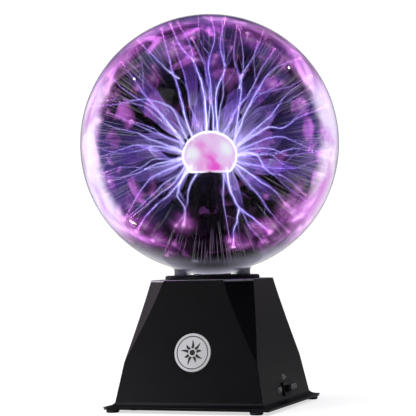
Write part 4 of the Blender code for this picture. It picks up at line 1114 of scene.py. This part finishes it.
# Petals of the main fan: way-points (u, v, half width), brightness, whiteness.
PETALS = (
    (((-17, 6, 5), (-31, 20, 9.5), (-45, 29, 7), (-62, 37, 0.6)), 0.95, 0.55),
    (((-20, -4, 5), (-37, 1, 7.5), (-52, 3, 6), (-68, 7, 0.6)), 0.85, 0.6),
    (((-20, -10, 3), (-35, -19, 5), (-51, -24, 3.8), (-64, -26, 0.6)), 0.9, 0.9),
    (((-16, -18, 2), (-25, -31, 3.5), (-33, -42, 3), (-44, -54, 0.5)), 0.7, 0.6),
    (((-47, -2, 1), (-42, -6, 2.8), (-37, -9, 2.8), (-33, -12, 0.8)), 1.3, 1.0),
    (((-7, 6, 7), (-7, 22, 6.5), (-6, 35, 4), (-3, 50, 0.8)), 1.0, 0.95),
    (((8, 7, 6), (13, 20, 5.5), (18, 29, 3.5), (25, 38, 0.6)), 0.95, 0.95),
    (((13, 6, 5), (18, 27, 6.2), (23, 37, 5.5), (30, 49, 0.6)), 0.8, 0.25),
    (((18, 0, 6), (36, 16, 9), (48, 24, 6.5), (60, 30, 0.6)), 0.95, 0.75),
    (((20, -6, 5), (38, -1, 9.5), (50, 3, 6.5), (62, 11, 0.6)), 0.8, 0.45),
    (((20, -12, 4), (38, -19, 7.2), (54, -18, 5), (72, -21, 0.6)), 0.75, 0.4),
    (((12, -18, 4.5), (17, -34, 4.5), (22, -46, 3.2), (26, -56, 0.5)), 0.9, 0.6),
    (((18, -17, 3), (31, -31, 4.2), (42, -40, 3.4), (53, -46, 0.5)), 0.6, 0.4),
    (((1, 34, 3), (2, 50, 6), (6, 66, 6), (11, 80, 1)), 0.55, 0.0),
    (((-12, 30, 3), (-13, 50, 5), (-17, 66, 5), (-20, 80, 1)), 0.55, 0.0),
    (((26, 22, 3), (40, 38, 6), (50, 46, 5), (62, 55, 1)), 0.55, 0.0),
    (((-40, -6, 3), (-55, -6, 7), (-68, -8, 6), (-80, -10, 1)), 0.55, 0.0),
    (((45, -15, 3), (58, -22, 7), (70, -28, 6), (80, -34, 1)), 0.55, 0.0),
    (((-32, 24, 3), (-46, 40, 6), (-56, 50, 5), (-66, 60, 1)), 0.55, 0.0),
)


def sphere_direction(rng):
    z = rng.uniform(-0.78, 0.95)
    turn = rng.uniform(0, 2 * math.pi)
    flat = math.sqrt(1 - z * z)
    return Vector((flat * math.cos(turn), flat * math.sin(turn), z))


def petal(lights, rng, spine, halves, lift, bright, white):
    """One leaf-shaped sheet along a spine, cupped, streaked along its length and brighter at its edges."""
    columns = 17
    stops = (
        (0.0, (0.66, 0.58, 0.98)),
        (0.22, blend((0.32, 0.13, 0.82), (0.56, 0.44, 1.0), white)),
        (0.7, blend((0.20, 0.07, 0.60), (0.34, 0.20, 0.88), white)),
        (1.0, (0.14, 0.05, 0.42)),
    )
    seed = Vector((rng.random() * 40, rng.random() * 40, 0))
    rows, glows, flows = [], [], []
    last = len(spine) - 1
    for i, centre in enumerate(spine):
        s = i / last
        ahead = (spine[min(i + 1, last)] - spine[max(i - 1, 0)]).normalized()
        across = ahead.cross(lift).normalized()
        out = across.cross(ahead).normalized()
        row, shades, marks = [], [], []
        for j in range(columns):
            t = 2 * j / (columns - 1) - 1
            wave = noise.noise(Vector((t * 1.6, s * 3.0, 0)) + seed)
            half = halves[i] * (1 + 0.35 * wave)
            cup = 0.35 * halves[i] * (1 - t * t) + wave * 2.5 * MM * s
            row.append(centre + across * half * t + out * cup)
            tone = shade_along(stops, s)
            level = 0.70 * bright * (1 - 0.55 * s - 0.45 * s**4)
            level *= (0.70 + 0.85 * abs(t) ** 5) * (1 - abs(t) ** 24)
            shades.append(dimmed(tone, level))
            marks.append((t * 0.5 + 0.5 + seed.x, s + seed.y))
        rows.append(row)
        glows.append(shades)
        flows.append(marks)
    lights.sheet(rows, glows, flows)


def make_veils(material):
    lights = Lights()
    rng = random.Random(RANDOM_SEED + 5)
    for points, bright, white in PETALS:
        depth = rng.uniform(-0.05, 0.10)
        places = [spot(u / 100, v / 100, depth * k / 3) for k, (u, v, _) in enumerate(points)]
        spine = smooth_route(places, 10)
        widths = smooth_route([Vector((half / 100 * GLOBE_RADIUS, 0, 0)) for _, _, half in points], 10)
        petal(lights, rng, spine, [w.x for w in widths], TOWARDS, bright, white)
    for _ in range(12):
        direction = sphere_direction(rng)
        if direction.dot(TOWARDS) > 0.1:
            continue
        side = direction.orthogonal().normalized()
        root = bulb_surface(BULB_CENTRE + direction * GLOBE_RADIUS)
        reach = rng.uniform(0.35, 0.5) * GLOBE_RADIUS
        bend = rng.uniform(-0.08, 0.08) * GLOBE_RADIUS
        points = [root + direction * reach * k / 3 + side * bend * (k / 3) ** 2 for k in range(4)]
        spine = smooth_route(points, 10)
        wide = rng.uniform(0.05, 0.09) * GLOBE_RADIUS
        last = len(spine) - 1
        halves = []
        for k in range(last + 1):
            swell = 0.5 + 0.5 * math.sin(math.pi * min(k / last * 1.1, 1.0))
            halves.append(wide * swell * (1 - (k / last) ** 5 * 0.9))
        petal(lights, rng, spine, halves, side.cross(direction), rng.uniform(0.5, 0.8), rng.uniform(0.2, 0.7))
    lights.build("veils", material)


def make_hairs(material):
    """Hair-thin streaks that stand straight off the glass in bunches."""
    lights = Lights()
    rng = random.Random(RANDOM_SEED + 9)
    for _ in range(60):
        heart = sphere_direction(rng)
        if abs(heart.dot(TOWARDS)) > 0.6:
            heart = (heart - TOWARDS * heart.dot(TOWARDS) * 0.9).normalized()
        for _ in range(rng.randint(6, 12)):
            offset = Vector([rng.gauss(0, 0.14) for _ in range(3)])
            direction = (heart + offset).normalized()
            inner, outer = rng.uniform(0.62, 0.80), rng.uniform(0.90, 0.97)
            a = GLOBE_CENTRE + direction * inner * GLOBE_RADIUS
            b = GLOBE_CENTRE + direction * outer * GLOBE_RADIUS
            line = [a.lerp(b, k / 3) for k in range(4)]
            tint = blend((0.50, 0.50, 0.48), (0.50, 0.30, 0.60), rng.random())
            levels = (0.05, 0.45, 0.55, 0.20)
            glows = [dimmed(tint, v) for v in levels]
            radius = rng.uniform(0.10, 0.18) * MM
            lights.tube(line, [radius] * 4, glows, 3)
    lights.build("hairline_streaks", material)


def make_discharge():
    plan = Discharge(RANDOM_SEED)
    for weight, points, forks in FAN:
        route = [spot(u / 100, v / 100, w / 100) for u, v, w in points]
        if (route[0] - BULB_CENTRE).length < 1.25 * BULB_RADIUS:
            route[0] = bulb_surface(route[0])
        route[-1] = on_glass(route[-1] - GLOBE_CENTRE)
        plan.filament(route, weight, forks=forks)
    for weight, points in LOOPS:
        route = [spot(u / 100, v / 100, w / 100) for u, v, w in points]
        plan.filament(route, weight, False, forks=0, wobble=0.8 * MM)
    rng = random.Random(RANDOM_SEED + 1)
    for _ in range(46):
        direction = sphere_direction(rng)
        if direction.dot(TOWARDS) > -0.25:
            continue
        end = on_glass(direction)
        root = bulb_surface(BULB_CENTRE + (direction + Vector((0, 0, 0.1))).normalized() * GLOBE_RADIUS)
        side = sideways(direction, rng)
        mid = root.lerp(end, 0.35) + side * rng.uniform(-6, 6) * MM
        far = root.lerp(end, 0.70) + side * rng.uniform(-6, 6) * MM
        plan.filament([root, mid, far, end], rng.uniform(0.5, 0.85), forks=rng.choice((0, 1, 1)))
    for u, v, weight in NEAR_BRUSHES:
        end = near_glass(u / 100, v / 100, 0.96)
        heart = GLOBE_CENTRE.lerp(end, 0.72) + Vector([rng.uniform(-4, 4) * MM for _ in range(3)])
        plan.landing([heart.lerp(end, k / 8) for k in range(9)], weight * 0.9)
    for u, v, radius, level in CLOUDS:
        plan.patch(near_glass(u / 100, v / 100), radius * MM, level)
    # Painted highlights: a white glow spot at the right rim and a soft bluish one near the bottom, in place
    # of glints of lamps on the glass.
    plan.patch(on_glass(spot(0.88, 0.42, 0.22) - GLOBE_CENTRE), 6 * MM, 1.2, (1.0, 0.85, 1.0))
    plan.patch(on_glass(spot(-0.13, -0.93, 0.34) - GLOBE_CENTRE), 4 * MM, 0.45, (0.62, 0.66, 1.0))
    plan.cores.build("streamer_cores", light_look("core_light", 0.0))
    plan.halos.build("streamer_halos", light_look("halo_light", 2.4, 0.8))
    plan.brushes.build("glass_brushes", light_look("brush_light", 1.6, 0.8))
    plan.spots.build("glass_spots", light_look("spot_light", 0.8, 1.15))
    make_veils(veil_look())
    make_hairs(light_look("hair_light", 0.0, 0.8))


# ---- materials of the inner CAD nodes ----
def dress(material, *nodes):
    for name in nodes:
        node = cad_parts[name]
        node.data.materials.clear()
        node.data.materials.append(material)


# Plain looks inside the base: name, what plain_surface() takes after it, and the nodes that wear it.
INNER_LOOKS = (
    ("zinc_steel", ((0.56, 0.56, 0.58), 0.30, 1.0, 0.12, 900.0, 0.02), (
        *[f"case_screw_{c}" for c in CORNERS], *[f"board_screw_{c}" for c in CORNERS], "transistor_screw",
        "switch_screw_front", "switch_screw_rear", "switch_frame", "jack_pin", "jack_nut",
    )),
    ("nylon", ((0.72, 0.71, 0.66), 0.45, 0.0, 0.06, 400.0, 0.02), (
        "collar_retainer", "neck_plug", "transformer_bobbin",
    )),
    ("ferrite_look", ((0.045, 0.045, 0.050), 0.55, 0.2, 0.25, 1500.0, 0.04), (
        "ferrite_core_left", "ferrite_core_right",
    )),
    ("drawn_aluminium", ((0.66, 0.67, 0.68), 0.36, 1.0, 0.10, 700.0, 0.03), (
        "heatsink", "microphone_capsule",
    )),
    ("electrode_film", ((0.52, 0.46, 0.54), 0.4, 0.8, 0.15, 500.0, 0.02), ("electrode_lining",)),
    ("epoxy", ((0.018, 0.018, 0.020), 0.45, 0.0, 0.25, 1800.0, 0.03), ("power_transistor", "timer_chip")),
    ("shrink_sleeve", ((0.022, 0.038, 0.13), 0.30, 0.0, 0.15, 300.0, 0.01, 0.5, 0.3), (
        "capacitor_main", "capacitor_timing", "capacitor_filter",
    )),
    ("dipped_red", ((0.40, 0.04, 0.025), 0.28, 0.0, 0.15, 250.0, 0.04, 0.5, 0.4), ("film_capacitor",)),
    ("carbon_film", ((0.56, 0.43, 0.26), 0.45, 0.0, 0.12, 800.0, 0.02), (
        "resistor_gate", "resistor_bias", "resistor_sense",
    )),
    ("phenolic_wafer", ((0.22, 0.09, 0.04), 0.55, 0.0, 0.2, 500.0, 0.03), ("switch_contacts",)),
    ("silicone_red", ((0.48, 0.03, 0.02), 0.42, 0.0, 0.12, 400.0, 0.02), ("high_voltage_lead",)),
    ("vinyl_black", ((0.02, 0.02, 0.021), 0.40, 0.0, 0.2, 400.0, 0.01), (
        "switch_wire_off", "jack_wire_minus",
    )),
    ("vinyl_red", ((0.44, 0.025, 0.018), 0.38, 0.0, 0.15, 400.0, 0.01), ("switch_wire_on", "jack_wire_plus")),
    ("vinyl_yellow", ((0.52, 0.38, 0.04), 0.38, 0.0, 0.15, 400.0, 0.01), ("switch_wire_audio",)),
)


def dress_inside():
    for name, look, nodes in INNER_LOOKS:
        dress(plain_surface(name, *look), *nodes)
    dress(circuit_board(), "driver_board")
    copper = ((0.66, 0.25, 0.08), (0.25, 0.07, 0.02), 0.9, 0.35, 900.0)
    tape = ((0.66, 0.48, 0.06), (0.40, 0.27, 0.03), 0.0, 0.4, 260.0)
    dress(wound_coil("copper_turns", *copper), "primary_winding")
    dress(wound_coil("tape_wraps", *tape), "high_voltage_winding")
    dress(wool_look(), "contact_wool")


# ---- stage ----
def area_light(name, place, target, size, power, colour):
    data = bpy.data.lights.new(name, "AREA")
    data.shape = "RECTANGLE"
    data.size, data.size_y = size
    data.energy = power
    data.color = colour
    light = bpy.data.objects.new(name, data)
    bpy.context.scene.collection.objects.link(light)
    light.location = place
    light.rotation_euler = (Vector(target) - Vector(place)).to_track_quat("-Z", "Y").to_euler()
    light.visible_camera = False


# Lamps that the base and the glass mirror: name, place, target, size, power, colour. Lengths are in metres.
LAMPS = (
    ("right_strip", (0.55, 1.45, 0.56), (0, 0, 0.06), (0.5, 0.7), 0.30, (1.0, 0.84, 1.0)),
    ("left_strip", (-1.35, 0.42, 0.42), (0, 0, 0.06), (0.4, 0.7), 1.2, (1.0, 0.82, 1.0)),
    ("overhead_card", (-0.65, -0.15, 1.35), (0, 0, 0.05), (0.8, 0.8), 2.5, (1.0, 1.0, 1.0)),
    ("high_card", (-0.38, -0.83, 0.75), (0, 0, 0.09), (0.35, 0.35), 1.2, (1.0, 1.0, 1.0)),
    ("front_card", (-0.47, -0.65, 0.11), (-0.05, -0.05, 0.02), (0.2, 0.2), 0.62, (0.98, 0.94, 1.0)),
)

# Small lamps whose mirror images are the white dots on the globe: name, u, v, distance, size, power.
SPARKS = (
    ("spark_left", -0.54, 0.49, 1.4, (0.045, 0.045), 3.2),
    ("spark_right", 0.59, 0.56, 1.4, (0.035, 0.035), 0.6),
    ("spark_low", -0.606, -0.594, 0.15, (0.009, 0.016), 0.018),
)


def make_lamps():
    sun = bpy.data.lights.new("overhead", "SUN")
    sun.energy = 3.2
    sun.angle = math.radians(60)
    overhead = bpy.data.objects.new("overhead", sun)
    bpy.context.scene.collection.objects.link(overhead)
    overhead.rotation_euler = (math.radians(8), math.radians(4), 0)
    overhead.visible_glossy = False
    for lamp in LAMPS:
        area_light(*lamp)
    for name, u, v, distance, size, power in SPARKS:
        w = math.sqrt(1 - u * u - v * v)
        shine = spot(u, v, w)
        out = ACROSS * 2 * w * u + UP * 2 * w * v + TOWARDS * (2 * w * w - 1)
        area_light(name, shine + out * distance, shine, size, power, (1.0, 1.0, 1.0))


def make_stage():
    g = Graph("pale_floor")
    inputs = {
        "Base Color": g.mix(g.ramp(g.noise(3.0, 2.0), 0.3, 0.7), (0.38, 0.38, 0.385), (0.42, 0.42, 0.425)),
        "Roughness": 0.9,
        "Specular IOR Level": 0.1,
        "Emission Color": (1.0, 1.0, 1.0),
        "Emission Strength": g.times(g.node("ShaderNodeLightPath").outputs["Is Camera Ray"], 0.66),
    }
    bm = bmesh.new()
    bmesh.ops.create_circle(bm, cap_ends=True, segments=64, radius=14.0)
    floor = to_object("floor", bm, g.finish(g.principled(inputs)))

    world = bpy.data.worlds.new("studio")
    bpy.context.scene.world = world
    world.use_nodes = True
    tree = world.node_tree
    tree.nodes.clear()
    choose = tree.nodes.new("ShaderNodeMixShader")
    path = tree.nodes.new("ShaderNodeLightPath")
    tree.links.new(path.outputs["Is Camera Ray"], choose.inputs[0])
    for place, colour, strength in ((1, (0.93, 0.94, 1.0, 1.0), 0.07), (2, (1.0, 1.0, 1.0, 1.0), 1.05)):
        background = tree.nodes.new("ShaderNodeBackground")
        background.inputs["Color"].default_value = colour
        background.inputs["Strength"].default_value = strength
        tree.links.new(background.outputs[0], choose.inputs[place])
    out = tree.nodes.new("ShaderNodeOutputWorld")
    tree.links.new(choose.outputs[0], out.inputs["Surface"])


def set_view():
    scene = bpy.context.scene
    scene.view_settings.view_transform = "Standard"
    scene.view_settings.look = "None"
    scene.cycles.transparent_max_bounces = 96  # the discharge is many clear sheets, one behind the other
    scene.cycles.max_bounces = 10
    scene.cycles.use_denoising = True


def main():
    make_camera()
    make_stage()
    make_lamps()
    set_view()
    plastic = housing_plastic()
    trim = plain_surface("trim_plastic", (0.0060, 0.0056, 0.0068), 0.40, 0.0, 0.2, 1800.0, 0.015, 0.2)
    rubber = plain_surface("foot_rubber", (0.016, 0.016, 0.017), 0.62, 0.0, 0.25, 1400.0, 0.05)
    ink = plain_surface("printed_grey", (0.42, 0.41, 0.43), 0.55, 0.0, 0.15, 1500.0, 0.01)
    silver = plain_surface("badge_silver_look", (0.78, 0.78, 0.80), 0.42, 0.25, 0.05, 1200.0, 0.012)
    dark_ink = plain_surface("badge_ink", (0.020, 0.020, 0.023), 0.5, 0.0, 0.15, 1200.0, 0.01)
    dress(plastic, "bottom_plate", "power_jack")
    dress(rubber, "neck_gasket", "microphone_grommet")
    dress_inside()
    make_housing(plastic)
    make_collar(trim)
    make_feet(rubber)
    make_badge(silver, dark_ink)
    make_switch(trim, ink)
    glass = glass_look()
    make_globe(glass)
    black = plain_surface("sleeve_black", (0.006, 0.006, 0.007), 0.6, 0.0, 0.2, 500.0, 0.02)
    make_stem(electrode_look(), glass, black)
    make_shell_glow(shell_glow_look())
    make_discharge()


main()
